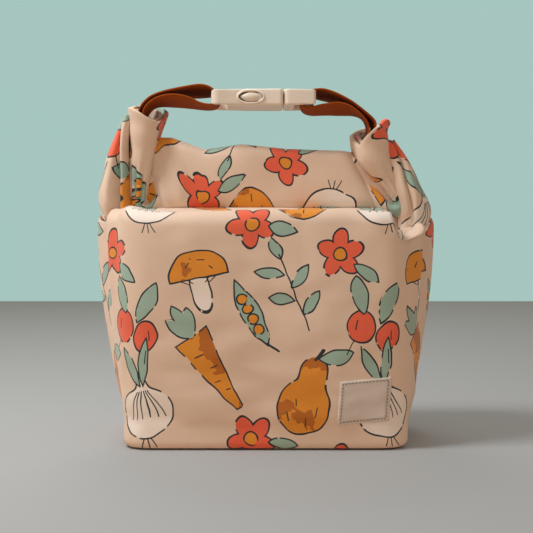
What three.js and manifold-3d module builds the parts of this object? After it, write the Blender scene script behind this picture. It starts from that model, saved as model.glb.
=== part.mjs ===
// Roll-top lunch bag with a webbing handle closed by a side-release buckle.
// Millimetres, +Z up, +X to the right, front towards -Y, origin under the middle of the bag.

import * as THREE from 'three';
import { mergeVertices } from 'three/addons/utils/BufferGeometryUtils.js';
import Module from 'manifold-3d';

const wasm = await Module();
wasm.setup();

// Bag body
const bottomWidth = 200;
const bottomDepth = 125;
const rimDepth = 113;
const rimHeight = 166;
const sideSpread = 26;
const edgeRound = 5;
const foldRound = 10;
const cornerRound = 12;
const canvasThickness = 1.0;
const battingThickness = 2.5;
const liningThickness = 0.8;
const layerGap = 0.3;
const panelGap = 0.3;

// Closed top: the roof of cloth between the rim and the mouth
const mouthRise = 3.5;
const mouthHalfGap = 5;
const mouthEndRise = 2;
const mouthEndRun = 16;
const mouthSideInset = 22;

// Flat spiral roll of the mouth, front and back ply together
const rollHeight = 45;
const rollThickness = 22;
const rollTurns = 1.667;
const spiralSteps = 6;
const plyThickness = 1.5;
const plyGap = 0.5;
const rollLeftInset = 26;
const rollRightInset = 15;
const rollSeat = -1.5;

// Ears: the ends of the roll, turned up and opened into a spiral mouth
const earTurns = 2;
const earStraight = 10;
const earSeat = 1;
const leftEar = {
  side: -1, baseInset: 1.5, baseHalf: 7, mouthInset: 10, mouthHalf: 13, mouthLift: 69, mouthSlope: -0.44,
};
const rightEar = {
  side: 1, baseInset: -1.5, baseHalf: 6.5, mouthInset: 26.5, mouthHalf: 16.5, mouthLift: 54, mouthSlope: 0.35,
};
const earBaseDepth = 0.6;
const earStations = 5;

// Side cloth drawn up outside each ear
const sideFoldThickness = 2.6;
const sideFoldSpine = 4.2;
const sideFoldBaseHalf = 24;
const sideFoldTopHalf = 15;
const sideFoldStations = 6;
const sideFoldPower = 1.5;
const leftFold = { side: -1, topInset: -7, topLift: 71, flankBase: 18, flankTop: 7 };
const rightFold = { side: 1, topInset: 4, topLift: 50, flankBase: 18, flankTop: 9 };
const clothClearance = 0.4;

// Webbing
const webbingWidth = 30;
const webbingThickness = 1.5;
const tailHalfWidthLow = 9.3;
const tailHalfWidthTop = 11.5;
const tailLowShare = 0.45;
const leftPinchInset = 2;
const leftPinchLift = 2;
const rightPinchInset = 4.5;
const rightPinchLift = 5;
const pinchRadius = 1.7;

// Side-release buckle
const buckleWidth = 40;
const buckleThickness = 12;
const buckleCentreX = -1.65;
const buckleLift = 36;
const socketLength = 52.3;
const plugLength = 23.6;
const buckleSeam = 0.3;
const buckleWall = 2.8;
const buckleSkin = 2.4;
const buckleBevel = 1.2;
const buckleEndThickness = 10.4;
const buckleEndRound = 2.4;
const waistDip = 1.4;
const buckleCorner = 5;
const cavityDepth = 37.5;
const windowStart = 14.6;
const windowLength = 17.6;
const windowCorner = 2.2;
const socketBar = 3.6;
const socketSlot = 7.5;
const barHeight = 5;
const barSeat = 0.3;
const barRounding = 0.3;
const frameArm = 4;
const plugHead = 8;
const plugBar = 4;
const plugBarInset = 3.8;
const guideLength = 12;
const guideHalfWidth = 3.5;
const guideCorner = 2.1;
const partClearance = 0.8;
const prongHingeInset = 1.9;
const prongSideGap = 1.7;
const prongArm = 3.2;
const prongReach = 30.4;
const prongShoulder = 1.6;
const prongCrown = 1;

// Webbing loops at the bars
const leftLoopRadius = 5.8;
const rightLoopRadius = 7;
const rightLoopDrop = 2;
const loopTipWall = 1.8;

// Label patch
const labelWidth = 34;
const labelHeight = 30;
const labelThickness = 0.8;
const labelX = 68;
const labelZ = 32;
const labelTilt = 4;
const labelCorner = 1.5;

// Derived places
const halfWidth = bottomWidth / 2;
const mouthHeight = rimHeight + mouthRise;
const rollTop = mouthHeight + rollSeat + rollHeight;
const rollCentre = mouthHeight + rollSeat + rollHeight / 2;
const earBaseHeight = mouthHeight + mouthEndRise + earSeat;
const buckleHeight = rollTop + buckleLift;
const buckleHalfLength = (socketLength + plugLength + buckleSeam) / 2;
const socketMouthX = buckleCentreX + buckleHalfLength - plugLength - buckleSeam;
const plugStartX = socketMouthX + buckleSeam;
const socketRearX = socketMouthX - socketLength;
const plugRearX = plugStartX + plugLength;
const cavityHalfWidth = buckleWidth / 2 - buckleWall;
const cavityHalfHeight = buckleThickness / 2 - buckleSkin;
const armInnerY = buckleWidth / 2 - frameArm;
const prongMiddleY = cavityHalfWidth - prongSideGap - prongArm / 2;

// Materials
const printedCanvas = { color: 0xd9b49a, roughness: 0.9, metalness: 0 };
const battingFoam = { color: 0xe8e6e0, roughness: 1, metalness: 0 };
const liningSheet = { color: 0xd6d8da, roughness: 0.5, metalness: 0 };
const webbingTwill = { color: 0x96500f, roughness: 0.8, metalness: 0 };
const ivoryPlastic = { color: 0xeedcc4, roughness: 0.4, metalness: 0 };
const labelCloth = { color: 0xa3927a, roughness: 0.9, metalness: 0 };

// Solids, joins and cuts
function toSolid(geometry) {
  const bare = geometry.clone();
  bare.deleteAttribute('normal');
  bare.deleteAttribute('uv');
  const merged = mergeVertices(bare, 1e-4);
  return new wasm.Manifold(new wasm.Mesh({
    numProp: 3,
    vertProperties: Float32Array.from(merged.attributes.position.array),
    triVerts: Uint32Array.from(merged.index.array),
  }));
}

function toGeometry(solid) {
  const mesh = solid.getMesh();
  const geometry = new THREE.BufferGeometry();
  geometry.setAttribute('position', new THREE.Float32BufferAttribute(mesh.vertProperties, 3));
  geometry.setIndex(Array.from(mesh.triVerts));
  return withNormals(geometry);
}

function withNormals(geometry) {
  const flat = geometry.toNonIndexed();
  flat.computeVertexNormals();
  return flat;
}

function boxSolid(low, high) {
  const size = high.map((value, axis) => value - low[axis]);
  const middle = high.map((value, axis) => (value + low[axis]) / 2);
  return toSolid(new THREE.BoxGeometry(...size).translate(...middle));
}

const group = new THREE.Group();

function addPiece(name, geometry, look) {
  const mesh = new THREE.Mesh(geometry, new THREE.MeshStandardMaterial(look));
  mesh.name = name;
  group.add(mesh);
  return mesh;
}

// Lofts through rings of equal point counts, capped at both ends
function capFaces(ring, offset, upward) {
  const flat = ring.map((point) => new THREE.Vector2(point.x, point.y));
  return THREE.ShapeUtils.triangulateShape(flat, []).map((face) => {
    const [a, b, c] = face.map((index) => flat[index]);
    const turn = (b.x - a.x) * (c.y - a.y) - (b.y - a.y) * (c.x - a.x);
    const ordered = (turn > 0) === upward ? face : [face[0], face[2], face[1]];
    return ordered.map((index) => index + offset);
  });
}

function loft(rings) {
  const count = rings[0].length;
  const faces = [...capFaces(rings[0], 0, false)];
  for (let level = 0; level < rings.length - 1; level += 1) {
    for (let i = 0; i < count; i += 1) {
      const a = level * count + i;
      const b = level * count + ((i + 1) % count);
      faces.push([a, b, b + count], [a, b + count, a + count]);
    }
  }
  faces.push(...capFaces(rings.at(-1), (rings.length - 1) * count, true));
  const geometry = new THREE.BufferGeometry();
  const positions = rings.flat().flatMap((point) => [point.x, point.y, point.z]);
  geometry.setAttribute('position', new THREE.Float32BufferAttribute(positions, 3));
  geometry.setIndex(faces.flat());
  return geometry;
}

function counterClockwise(points) {
  return THREE.ShapeUtils.area(points) < 0 ? [...points].reverse() : points;
}

// Outline of the bag at one height: a box that opens into a six-sided rim
function quarterOutline(side, corner, rounding) {
  const flank = new THREE.Vector2(side - corner.x, -corner.y);
  const round = Math.min(rounding, 0.4 * flank.length());
  const start = corner.clone().addScaledVector(flank.clone().normalize(), round);
  const end = new THREE.Vector2(corner.x - round, corner.y);
  const bend = new THREE.QuadraticBezierCurve(start, corner, end);
  const points = [new THREE.Vector2(side, 0)];
  points.push(new THREE.Vector2(side, 0).lerp(start, 0.5));
  points.push(...bend.getPoints(3));
  for (const share of [0.9, 0.45, 0]) {
    points.push(new THREE.Vector2(end.x * share, end.y));
  }
  return points;
}

function fullOutline(quarter) {
  const inner = quarter.slice(1, -1);
  const flip = (list, x, y) => list.map((point) => new THREE.Vector2(point.x * x, point.y * y));
  return [
    ...quarter,
    ...flip([...inner].reverse(), -1, 1),
    ...flip(quarter.slice(0, -1), -1, -1),
    ...flip([quarter.at(-1), ...[...inner].reverse()], 1, -1),
  ];
}

function bagRing(height, shrink) {
  const rise = THREE.MathUtils.clamp(height / (rimHeight - foldRound), 0, 1);
  const depth = THREE.MathUtils.lerp(bottomDepth, rimDepth, rise) / 2 - shrink;
  const side = halfWidth + sideSpread * (1 - (1 - rise) ** 2) - shrink;
  const corner = new THREE.Vector2(halfWidth - shrink, depth);
  const outline = fullOutline(quarterOutline(side, corner, cornerRound));
  return outline.map((point) => new THREE.Vector3(point.x, point.y, height));
}

function mouthSurface(x) {
  const end = halfWidth + sideSpread - mouthSideInset;
  const climb = THREE.MathUtils.clamp((Math.abs(x) - end + mouthEndRun) / mouthEndRun, 0, 1);
  return mouthHeight + mouthEndRise * climb;
}

function mouthRing(inset) {
  const side = halfWidth + sideSpread - mouthSideInset - inset;
  const corner = new THREE.Vector2(halfWidth - inset, mouthHalfGap / 2);
  const outline = fullOutline(quarterOutline(side, corner, cornerRound));
  return outline.map((point) => new THREE.Vector3(point.x, point.y, mouthSurface(point.x) - inset));
}

function bagLoft(inset) {
  const wallTop = rimHeight - foldRound;
  const ease = 1 - Math.SQRT1_2;
  const rings = [
    bagRing(inset, inset + edgeRound),
    bagRing(inset + ease * edgeRound, inset + ease * edgeRound),
    bagRing(inset + edgeRound, inset),
  ];
  for (const share of [0.25, 0.5, 0.75, 1]) {
    rings.push(bagRing(wallTop * share, inset));
  }
  rings.push(bagRing(rimHeight - ease * foldRound - inset, inset + ease * foldRound));
  rings.push(bagRing(rimHeight - inset, inset + foldRound));
  rings.push(mouthRing(inset));
  return toSolid(loft(rings));
}

function halfSpace(front) {
  const reach = bottomWidth * 2;
  const near = panelGap / 2;
  return front
    ? boxSolid([-reach, -reach, -reach], [reach, -near, reach])
    : boxSolid([-reach, near, -reach], [reach, reach, reach]);
}

function mouthSlot() {
  const end = halfWidth + sideSpread - mouthSideInset - mouthEndRun;
  return boxSolid([-end, -mouthHalfGap, rimHeight - 3 * foldRound], [end, mouthHalfGap, rimHeight + foldRound]);
}

function addBagLayer(name, inset, thickness, look) {
  const shell = bagLoft(inset).subtract(bagLoft(inset + thickness)).subtract(mouthSlot());
  addPiece(`front_${name}`, toGeometry(shell.intersect(halfSpace(true))), look);
  addPiece(`back_${name}`, toGeometry(shell.intersect(halfSpace(false))), look);
  return inset + thickness + layerGap;
}

const battingInset = addBagLayer('panel', 0, canvasThickness, printedCanvas);
const liningInset = addBagLayer('batting', battingInset, battingThickness, battingFoam);
addBagLayer('lining', liningInset, liningThickness, liningSheet);

// Label patch, flat against the leaning front wall
function roundedRectangle(width, height, radius) {
  const shape = new THREE.Shape();
  const x = width / 2;
  const y = height / 2;
  shape.moveTo(-x + radius, -y);
  shape.lineTo(x - radius, -y);
  shape.quadraticCurveTo(x, -y, x, -y + radius);
  shape.lineTo(x, y - radius);
  shape.quadraticCurveTo(x, y, x - radius, y);
  shape.lineTo(-x + radius, y);
  shape.quadraticCurveTo(-x, y, -x, y - radius);
  shape.lineTo(-x, -y + radius);
  shape.quadraticCurveTo(-x, -y, -x + radius, -y);
  return shape;
}

function addLabel() {
  const shape = roundedRectangle(labelWidth, labelHeight, labelCorner);
  const geometry = new THREE.ExtrudeGeometry(shape, {
    depth: labelThickness, bevelEnabled: false, curveSegments: 4,
  });
  const label = addPiece('label_patch', geometry, labelCloth);
  const lean = Math.atan((bottomDepth - rimDepth) / 2 / (rimHeight - foldRound));
  const wallY = bottomDepth / 2 - Math.tan(lean) * labelZ;
  label.rotation.set(Math.PI / 2 - lean, 0, 0);
  label.rotateZ(THREE.MathUtils.degToRad(labelTilt));
  label.position.set(labelX, -wallY - layerGap, labelZ);
}
addLabel();

// Spiral section of the rolled mouth: straight runs joined by half turns of growing radius
function spiralPath(firstRadius, growth, straight, startAngle, turns) {
  const step = Math.PI / spiralSteps;
  const count = Math.round((turns * 2 * Math.PI) / step);
  const points = [];
  for (let i = 0; i < count; i += 1) {
    const from = startAngle + i * step;
    const centre = Math.sin(from + step / 2) > 0 ? straight : -straight;
    const isNewRun = i === 0 || Math.sin(from + step / 2) * Math.sin(from - step / 2) < 0;
    const angles = isNewRun ? [from, from + step] : [from + step];
    for (const angle of angles) {
      const radius = firstRadius + (growth * (angle - startAngle)) / (2 * Math.PI);
      points.push(new THREE.Vector2(radius * Math.cos(angle), centre + radius * Math.sin(angle)));
    }
  }
  return points;
}

function spiralBand(outerRadius, straight, endAngle, turns, isOuterPly) {
  const pitch = 2 * (plyThickness + plyGap);
  const startAngle = endAngle - Math.round(turns * 2 * spiralSteps) * (Math.PI / spiralSteps);
  const lastRadius = outerRadius - (isOuterPly ? 0 : pitch / 2);
  const firstRadius = lastRadius - (pitch * (endAngle - startAngle)) / (2 * Math.PI);
  const outside = spiralPath(firstRadius, pitch, straight, startAngle, turns);
  const inside = spiralPath(firstRadius - plyThickness, pitch, straight, startAngle, turns);
  return [...outside, ...inside.reverse()];
}

function bandShape(points) {
  return new THREE.Shape(counterClockwise(points));
}

const alongX = new THREE.Matrix4().makeBasis(
  new THREE.Vector3(0, 1, 0), new THREE.Vector3(0, 0, 1), new THREE.Vector3(1, 0, 0),
);
const alongY = new THREE.Matrix4().makeBasis(
  new THREE.Vector3(1, 0, 0), new THREE.Vector3(0, 0, 1), new THREE.Vector3(0, -1, 0),
);

function addRollPly(name, isOuterPly) {
  const radius = rollThickness / 2;
  const straight = rollHeight / 2 - radius;
  const band = spiralBand(radius, straight, 5.5 * Math.PI, rollTurns, isOuterPly);
  const rollLeft = -(halfWidth - rollLeftInset);
  const rollRight = halfWidth - rollRightInset;
  const geometry = new THREE.ExtrudeGeometry(bandShape(band), { depth: rollRight - rollLeft, bevelEnabled: false });
  geometry.applyMatrix4(alongX);
  geometry.translate(rollLeft, 0, rollCentre);
  const trimmed = toSolid(geometry).subtract(earEnvelope(leftEar)).subtract(earEnvelope(rightEar));
  addPiece(name, toGeometry(trimmed), printedCanvas);
}
addRollPly('front_roll_ply', true);
addRollPly('back_roll_ply', false);

// Ears: the spiral section lofted from a pinched base to an open, tilted mouth
function earFrame(ear) {
  return {
    baseX: ear.side * (halfWidth - ear.baseInset),
    mouthX: ear.side * (halfWidth - ear.mouthInset),
    mouthZ: earBaseHeight + ear.mouthLift,
  };
}

function earRing(ear, section, share) {
  const frame = earFrame(ear);
  const centreX = THREE.MathUtils.lerp(frame.baseX, frame.mouthX, share);
  const centreZ = THREE.MathUtils.lerp(earBaseHeight, frame.mouthZ, share);
  const spreadX = THREE.MathUtils.lerp(ear.baseHalf, ear.mouthHalf, share) / ear.mouthHalf;
  const spreadY = THREE.MathUtils.lerp(earBaseDepth, 1, share);
  return section.map((point) => new THREE.Vector3(
    centreX + point.x * spreadX,
    point.y * spreadY,
    centreZ + point.x * ear.mouthSlope * share ** 2,
  ));
}

function earLoft(ear, section) {
  const outline = counterClockwise(section);
  const rings = [];
  for (let i = 0; i < earStations; i += 1) {
    rings.push(earRing(ear, outline, i / (earStations - 1)));
  }
  return loft(rings);
}

function addEarPly(name, ear, isOuterPly) {
  const band = spiralBand(ear.mouthHalf, earStraight, 5 * Math.PI, earTurns, isOuterPly);
  const section = band.map((point) => new THREE.Vector2(point.x * ear.side * -1, point.y));
  addPiece(name, withNormals(earLoft(ear, section)), printedCanvas);
}
addEarPly('left_ear_front_ply', leftEar, true);
addEarPly('left_ear_back_ply', leftEar, false);
addEarPly('right_ear_front_ply', rightEar, true);
addEarPly('right_ear_back_ply', rightEar, false);

function earEnvelope(ear) {
  const radius = ear.mouthHalf + clothClearance;
  const points = [];
  for (let i = 0; i <= 2 * spiralSteps + 1; i += 1) {
    const upper = i <= spiralSteps;
    const angle = ((upper ? i : i - 1) * Math.PI) / spiralSteps;
    const centre = upper ? earStraight : -earStraight;
    points.push(new THREE.Vector2(radius * Math.cos(angle), centre + radius * Math.sin(angle)));
  }
  return toSolid(earLoft(ear, points));
}

// Side folds: a V of cloth outside each ear, cut clear of the ear and of the bag
function addSideFold(name, fold, ear) {
  const baseZ = rimHeight - foldRound / 2;
  const sideX = halfWidth + sideSpread;
  const rings = [];
  for (let i = 0; i < sideFoldStations; i += 1) {
    const share = i / (sideFoldStations - 1);
    const outer = sideX - (sideX - halfWidth + fold.topInset) * share ** sideFoldPower;
    const flankX = outer - THREE.MathUtils.lerp(fold.flankBase, fold.flankTop, share);
    const flankY = THREE.MathUtils.lerp(sideFoldBaseHalf, sideFoldTopHalf, share);
    const height = baseZ + fold.topLift * share;
    const outline = [
      [outer, 0], [flankX, flankY], [flankX - sideFoldThickness, flankY],
      [outer - sideFoldSpine, 0],
      [flankX - sideFoldThickness, -flankY], [flankX, -flankY],
    ].map(([x, y]) => new THREE.Vector2(x * fold.side, y));
    rings.push(counterClockwise(outline).map((point) => new THREE.Vector3(point.x, point.y, height)));
  }
  const solid = toSolid(loft(rings)).subtract(bagLoft(-clothClearance)).subtract(earEnvelope(ear));
  addPiece(name, toGeometry(solid), printedCanvas);
}
addSideFold('left_side_fold', leftFold, leftEar);
addSideFold('right_side_fold', rightFold, rightEar);

// Webbing: the sewn-in tail inside each ear, and the loop round each bar
function pinchPoint(ear, inset, lift) {
  const frame = earFrame(ear);
  return new THREE.Vector2(frame.mouthX - ear.side * inset, frame.mouthZ + lift);
}

const leftPinch = pinchPoint(leftEar, leftPinchInset, leftPinchLift);
const rightPinch = pinchPoint(rightEar, rightPinchInset, rightPinchLift);

function addStrapTail(name, ear, top) {
  const frame = earFrame(ear);
  const low = new THREE.Vector2(
    THREE.MathUtils.lerp(frame.baseX, frame.mouthX, tailLowShare),
    THREE.MathUtils.lerp(earBaseHeight, frame.mouthZ, tailLowShare),
  );
  const high = new THREE.Vector2(top.x, top.y - pinchRadius - partClearance / 2);
  const ring = (centre, halfY) => [[-1, -1], [1, -1], [1, 1], [-1, 1]].map(([x, y]) => new THREE.Vector3(
    centre.x + (x * webbingThickness) / 2, y * halfY, centre.y,
  ));
  const rings = [ring(low, tailHalfWidthLow), ring(high, tailHalfWidthTop)];
  addPiece(name, withNormals(loft(rings)), webbingTwill);
}
addStrapTail('left_strap_tail', leftEar, leftPinch);
addStrapTail('right_strap_tail', rightEar, rightPinch);

// A belt outline round a large and a small circle
function beltOutline(big, bigRadius, small, smallRadius, steps) {
  const reach = small.clone().sub(big);
  const heading = Math.atan2(reach.y, reach.x);
  const spread = Math.acos((bigRadius - smallRadius) / reach.length());
  const points = [];
  const arc = (centre, radius, from, to, count) => {
    for (let i = 0; i <= count; i += 1) {
      const angle = from + ((to - from) * i) / count;
      points.push(new THREE.Vector2(centre.x + radius * Math.cos(angle), centre.y + radius * Math.sin(angle)));
    }
  };
  arc(small, smallRadius, heading - spread, heading + spread, 4);
  arc(big, bigRadius, heading + spread, heading + 2 * Math.PI - spread, steps);
  return points;
}

function addStrapLoop(name, tip, bar, radius) {
  const shape = new THREE.Shape(counterClockwise(beltOutline(bar, radius, tip, pinchRadius, 12)));
  const taper = (radius - pinchRadius) / tip.distanceTo(bar);
  const shift = loopTipWall / taper;
  const innerTip = tip.clone().add(bar.clone().sub(tip).setLength(shift));
  const innerTipRadius = pinchRadius + taper * shift - webbingThickness;
  const hole = beltOutline(bar, radius - webbingThickness, innerTip, innerTipRadius, 12);
  shape.holes.push(new THREE.Path(counterClockwise(hole).reverse()));
  const geometry = new THREE.ExtrudeGeometry(shape, { depth: webbingWidth, bevelEnabled: false });
  geometry.applyMatrix4(alongY);
  geometry.translate(0, webbingWidth / 2, 0);
  addPiece(name, geometry, webbingTwill);
}

const socketBarX = socketRearX + socketBar / 2;
const plugBarX = plugRearX - plugBarInset - plugBar / 2;

// Centre of a loop whose inside bears on the rounded corner of its bar
function seatedLoop(barX, barWidth, radius, drop, pull) {
  const round = barWidth * barRounding;
  const reach = radius - webbingThickness - barSeat - round;
  const rise = barHeight / 2 - round + drop;
  const cornerX = barX - pull * (barWidth / 2 - round);
  return new THREE.Vector2(cornerX + pull * Math.sqrt(reach ** 2 - rise ** 2), buckleHeight - drop);
}

const leftLoopCentre = seatedLoop(socketBarX, socketBar, leftLoopRadius, 0, -1);
const rightLoopCentre = seatedLoop(plugBarX, plugBar, rightLoopRadius, rightLoopDrop, 1);
addStrapLoop('left_strap_loop', leftPinch, leftLoopCentre, leftLoopRadius);
addStrapLoop('right_strap_loop', rightPinch, rightLoopCentre, rightLoopRadius);

// Buckle: plan shapes in X and Y, extruded through the thickness with rounded edges
function plate(shape, thickness, bevel) {
  const geometry = new THREE.ExtrudeGeometry(shape, {
    depth: thickness - 2 * bevel,
    bevelEnabled: bevel > 0,
    bevelThickness: bevel,
    bevelSize: bevel,
    bevelOffset: -bevel,
    bevelSegments: 2,
    curveSegments: 6,
  });
  geometry.translate(0, 0, buckleHeight - thickness / 2 + bevel);
  return geometry;
}

function frameBlock(fromX, toX, halfY, halfZ) {
  return boxSolid([fromX, -halfY, buckleHeight - halfZ], [toX, halfY, buckleHeight + halfZ]);
}

function bodyOutline(fromX, toX, dip) {
  const middle = (fromX + toX) / 2;
  const halfY = buckleWidth / 2;
  const corner = buckleCorner;
  const shape = new THREE.Shape();
  shape.moveTo(fromX + corner, -halfY);
  shape.quadraticCurveTo(middle, -halfY + 2 * dip, toX - corner / 2, -halfY);
  shape.quadraticCurveTo(toX, -halfY, toX, -halfY + corner / 2);
  shape.lineTo(toX, halfY - corner / 2);
  shape.quadraticCurveTo(toX, halfY, toX - corner / 2, halfY);
  shape.quadraticCurveTo(middle, halfY - 2 * dip, fromX + corner, halfY);
  shape.quadraticCurveTo(fromX, halfY, fromX, halfY - corner);
  shape.lineTo(fromX, -halfY + corner);
  shape.quadraticCurveTo(fromX, -halfY, fromX + corner, -halfY);
  return shape;
}

function crossSolid(shape, centreX, halfLength) {
  const geometry = new THREE.ExtrudeGeometry(shape, {
    depth: 2 * halfLength, bevelEnabled: false, curveSegments: 3,
  });
  geometry.applyMatrix4(alongY);
  geometry.translate(centreX, halfLength, buckleHeight);
  return toSolid(geometry);
}

// Side view of the whole buckle: thickest in the middle, thinner and rounded at both ends
function sideProfile() {
  const end = buckleHalfLength + buckleSeam;
  const flat = end - buckleEndRound;
  const endHalf = buckleEndThickness / 2;
  const endFlat = endHalf - buckleEndRound;
  const pull = buckleThickness - endHalf;
  const shape = new THREE.Shape();
  shape.moveTo(-flat, -endHalf);
  shape.quadraticCurveTo(0, -pull, flat, -endHalf);
  shape.quadraticCurveTo(end, -endHalf, end, -endFlat);
  shape.lineTo(end, endFlat);
  shape.quadraticCurveTo(end, endHalf, flat, endHalf);
  shape.quadraticCurveTo(0, pull, -flat, endHalf);
  shape.quadraticCurveTo(-end, endHalf, -end, endFlat);
  shape.lineTo(-end, -endFlat);
  shape.quadraticCurveTo(-end, -endHalf, -flat, -endHalf);
  return shape;
}

function bodySolid(fromX, toX, dip) {
  const profile = crossSolid(sideProfile(), buckleCentreX, buckleWidth);
  return toSolid(plate(bodyOutline(fromX, toX, dip), buckleThickness, buckleBevel)).intersect(profile);
}

function barSolid(centreX, width) {
  const shape = roundedRectangle(width, barHeight, width * barRounding);
  return crossSolid(shape, centreX, armInnerY + frameArm / 2);
}

function addSocket() {
  const outer = bodySolid(socketRearX, socketMouthX, waistDip);
  const window = crossSolid(
    roundedRectangle(windowLength, 2 * cavityHalfHeight, windowCorner),
    socketMouthX - windowStart - windowLength / 2, buckleWidth,
  );
  const slotEnd = socketRearX + socketBar + socketSlot;
  const past = buckleWidth;
  const solid = outer
    .subtract(frameBlock(socketMouthX - cavityDepth, socketMouthX + past, cavityHalfWidth, cavityHalfHeight))
    .subtract(window)
    .subtract(frameBlock(socketRearX - past, slotEnd, armInnerY, past))
    .add(barSolid(socketBarX, socketBar));
  addPiece('buckle_socket', toGeometry(solid), ivoryPlastic);
}

function addPlug() {
  const outer = bodySolid(plugStartX, plugRearX, 0);
  const guide = roundedRectangle(guideLength + plugHead, 2 * guideHalfWidth, guideCorner);
  const guideSolid = toSolid(
    plate(guide, 2 * (cavityHalfHeight - partClearance), 0).translate(plugStartX + (plugHead - guideLength) / 2, 0, 0),
  );
  const solid = outer
    .subtract(frameBlock(plugStartX + plugHead, plugRearX + buckleWidth, armInnerY, buckleWidth))
    .add(barSolid(plugBarX, plugBar))
    .add(guideSolid);
  addPiece('buckle_plug', toGeometry(solid), ivoryPlastic);
}

// Spring arm with a barbed head that fills the side window
function prongShape(side) {
  const rootX = plugStartX - prongHingeInset;
  const half = prongArm / 2;
  const armOuter = prongMiddleY + half;
  const armInner = prongMiddleY - half;
  const shoulderX = socketMouthX - windowStart - partClearance;
  const shoulderY = cavityHalfWidth + prongShoulder;
  const tipX = rootX - prongReach;
  const shape = new THREE.Shape();
  shape.moveTo(rootX, armInner);
  shape.absarc(rootX, prongMiddleY, half, -Math.PI / 2, Math.PI / 2, false);
  shape.lineTo(shoulderX + partClearance, armOuter);
  shape.lineTo(shoulderX, shoulderY);
  shape.quadraticCurveTo((shoulderX + tipX) / 2, shoulderY + prongCrown, tipX + prongArm, prongMiddleY);
  shape.quadraticCurveTo(tipX, armInner, tipX + half, armInner - half);
  shape.lineTo(shoulderX, armInner);
  shape.lineTo(rootX, armInner);
  const points = shape.getPoints(5).map((point) => new THREE.Vector2(point.x, point.y * side));
  return new THREE.Shape(counterClockwise(points));
}

function addProng(name, side) {
  const thickness = 2 * (cavityHalfHeight - partClearance);
  const geometry = plate(prongShape(side), thickness, 0);
  addPiece(name, geometry, ivoryPlastic);
}

addSocket();
addPlug();
addProng('front_prong', -1);
addProng('rear_prong', 1);

export default group;
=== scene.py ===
# %% [markdown]
# # A roll-top lunch bag
# The bag is a box of printed canvas with a soft lining. Its mouth is rolled down into a flat
# roll, the ends of the roll are turned up like two ears, and webbing with a side-release
# buckle closes them into a handle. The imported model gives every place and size, and this
# script dresses it: cloth with thickness and creases, a printed pattern, woven webbing and
# moulded plastic. Lengths are written in millimetres and turned into metres once.

# %% The fixed frame
import math

import bmesh
import bpy
import numpy as np
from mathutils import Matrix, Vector, noise
from mathutils.bvhtree import BVHTree


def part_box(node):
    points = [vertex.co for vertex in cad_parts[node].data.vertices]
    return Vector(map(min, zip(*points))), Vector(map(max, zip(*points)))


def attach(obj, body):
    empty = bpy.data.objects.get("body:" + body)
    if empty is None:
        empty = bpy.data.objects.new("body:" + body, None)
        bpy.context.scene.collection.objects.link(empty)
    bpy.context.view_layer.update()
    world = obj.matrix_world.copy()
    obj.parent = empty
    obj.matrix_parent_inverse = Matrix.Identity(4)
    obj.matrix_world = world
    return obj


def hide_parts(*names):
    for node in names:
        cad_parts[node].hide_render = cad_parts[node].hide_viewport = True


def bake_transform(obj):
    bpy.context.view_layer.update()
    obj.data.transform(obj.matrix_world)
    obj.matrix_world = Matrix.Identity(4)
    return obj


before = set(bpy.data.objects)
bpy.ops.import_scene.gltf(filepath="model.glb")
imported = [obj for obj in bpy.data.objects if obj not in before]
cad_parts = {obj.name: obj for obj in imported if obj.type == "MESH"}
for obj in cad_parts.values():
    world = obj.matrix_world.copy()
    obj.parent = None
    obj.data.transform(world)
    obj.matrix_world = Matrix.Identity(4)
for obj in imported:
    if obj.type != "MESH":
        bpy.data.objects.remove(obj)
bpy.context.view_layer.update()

MM = 0.001

# %% [markdown]
# The camera stands low in front of the bag, a little under the height of the rim, so the
# front shows square on and the handle is seen slightly from below. A long lens keeps the
# sides almost upright. The lens is worked out from the focal length in pixels and the frame's width.

# %% Camera
FRAME_PIXELS = 533
SENSOR = 36.0
FOCAL_PIXELS = 1027.0
camera_place = Vector((0.5, -767.0, 150.0)) * MM
camera_dip = math.radians(1.85)

camera_data = bpy.data.cameras.new("camera")
camera_data.sensor_width = SENSOR
camera_data.lens = SENSOR * FOCAL_PIXELS / FRAME_PIXELS
camera = bpy.data.objects.new("camera", camera_data)
camera.location = camera_place
camera.rotation_euler = (math.radians(90) - camera_dip, 0, 0)
bpy.context.scene.collection.objects.link(camera)
bpy.context.scene.camera = camera
print("lens, mm:", round(camera_data.lens, 1))

# %% [markdown]
# Studio light is plain and soft: one lamp hangs close above the bag on the left, so that the
# top fold is brightest and the front fades downwards. A weak one in front opens the shadows,
# and one behind lights the top. An area lamp is chosen over a point or a sun, because its
# size gives the shadow its soft edge.

# %% Lamps
scene = bpy.context.scene
scene.view_settings.view_transform = "Standard"


def add_lamp(name, place, target, size, power):
    data = bpy.data.lights.new(name, "AREA")
    data.shape = "DISK"
    data.size = size
    data.energy = power
    lamp = bpy.data.objects.new(name, data)
    lamp.location = place
    lamp.rotation_euler = (Vector(target) - Vector(place)).to_track_quat("-Z", "Y").to_euler()
    scene.collection.objects.link(lamp)
    print(name, "lamp:", power, "W")


bag_middle = (0.0, 0.0, 0.13)
add_lamp("key", (-0.44, -0.19, 0.86), bag_middle, 0.26, 5.6)
add_lamp("fill", (-0.3, -1.4, 0.5), bag_middle, 0.8, 1.0)
add_lamp("back", (-0.2, 0.9, 1.2), bag_middle, 0.7, 3.5)

# %% [markdown]
# What comes from above is white. What reaches the upright sides has bounced off a warm room
# and table first. So the world and the floor throw warm light back on the bag, while Light
# Path lets the camera see a grey-green wall and a grey floor in their place. This keeps the
# background out of the light on the bag.

# %% Floor and backdrop
ROOM_LIGHT = (1.0, 0.81, 0.68, 1)
ROOM_STRENGTH = 0.44
WALL_SEEN = (0.38, 0.56, 0.52, 1)
FLOOR_BOUNCE = (0.58, 0.42, 0.31, 1)
FLOOR_SEEN = (0.39, 0.41, 0.42, 1)
FLOOR_REACH = 1.5


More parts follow.
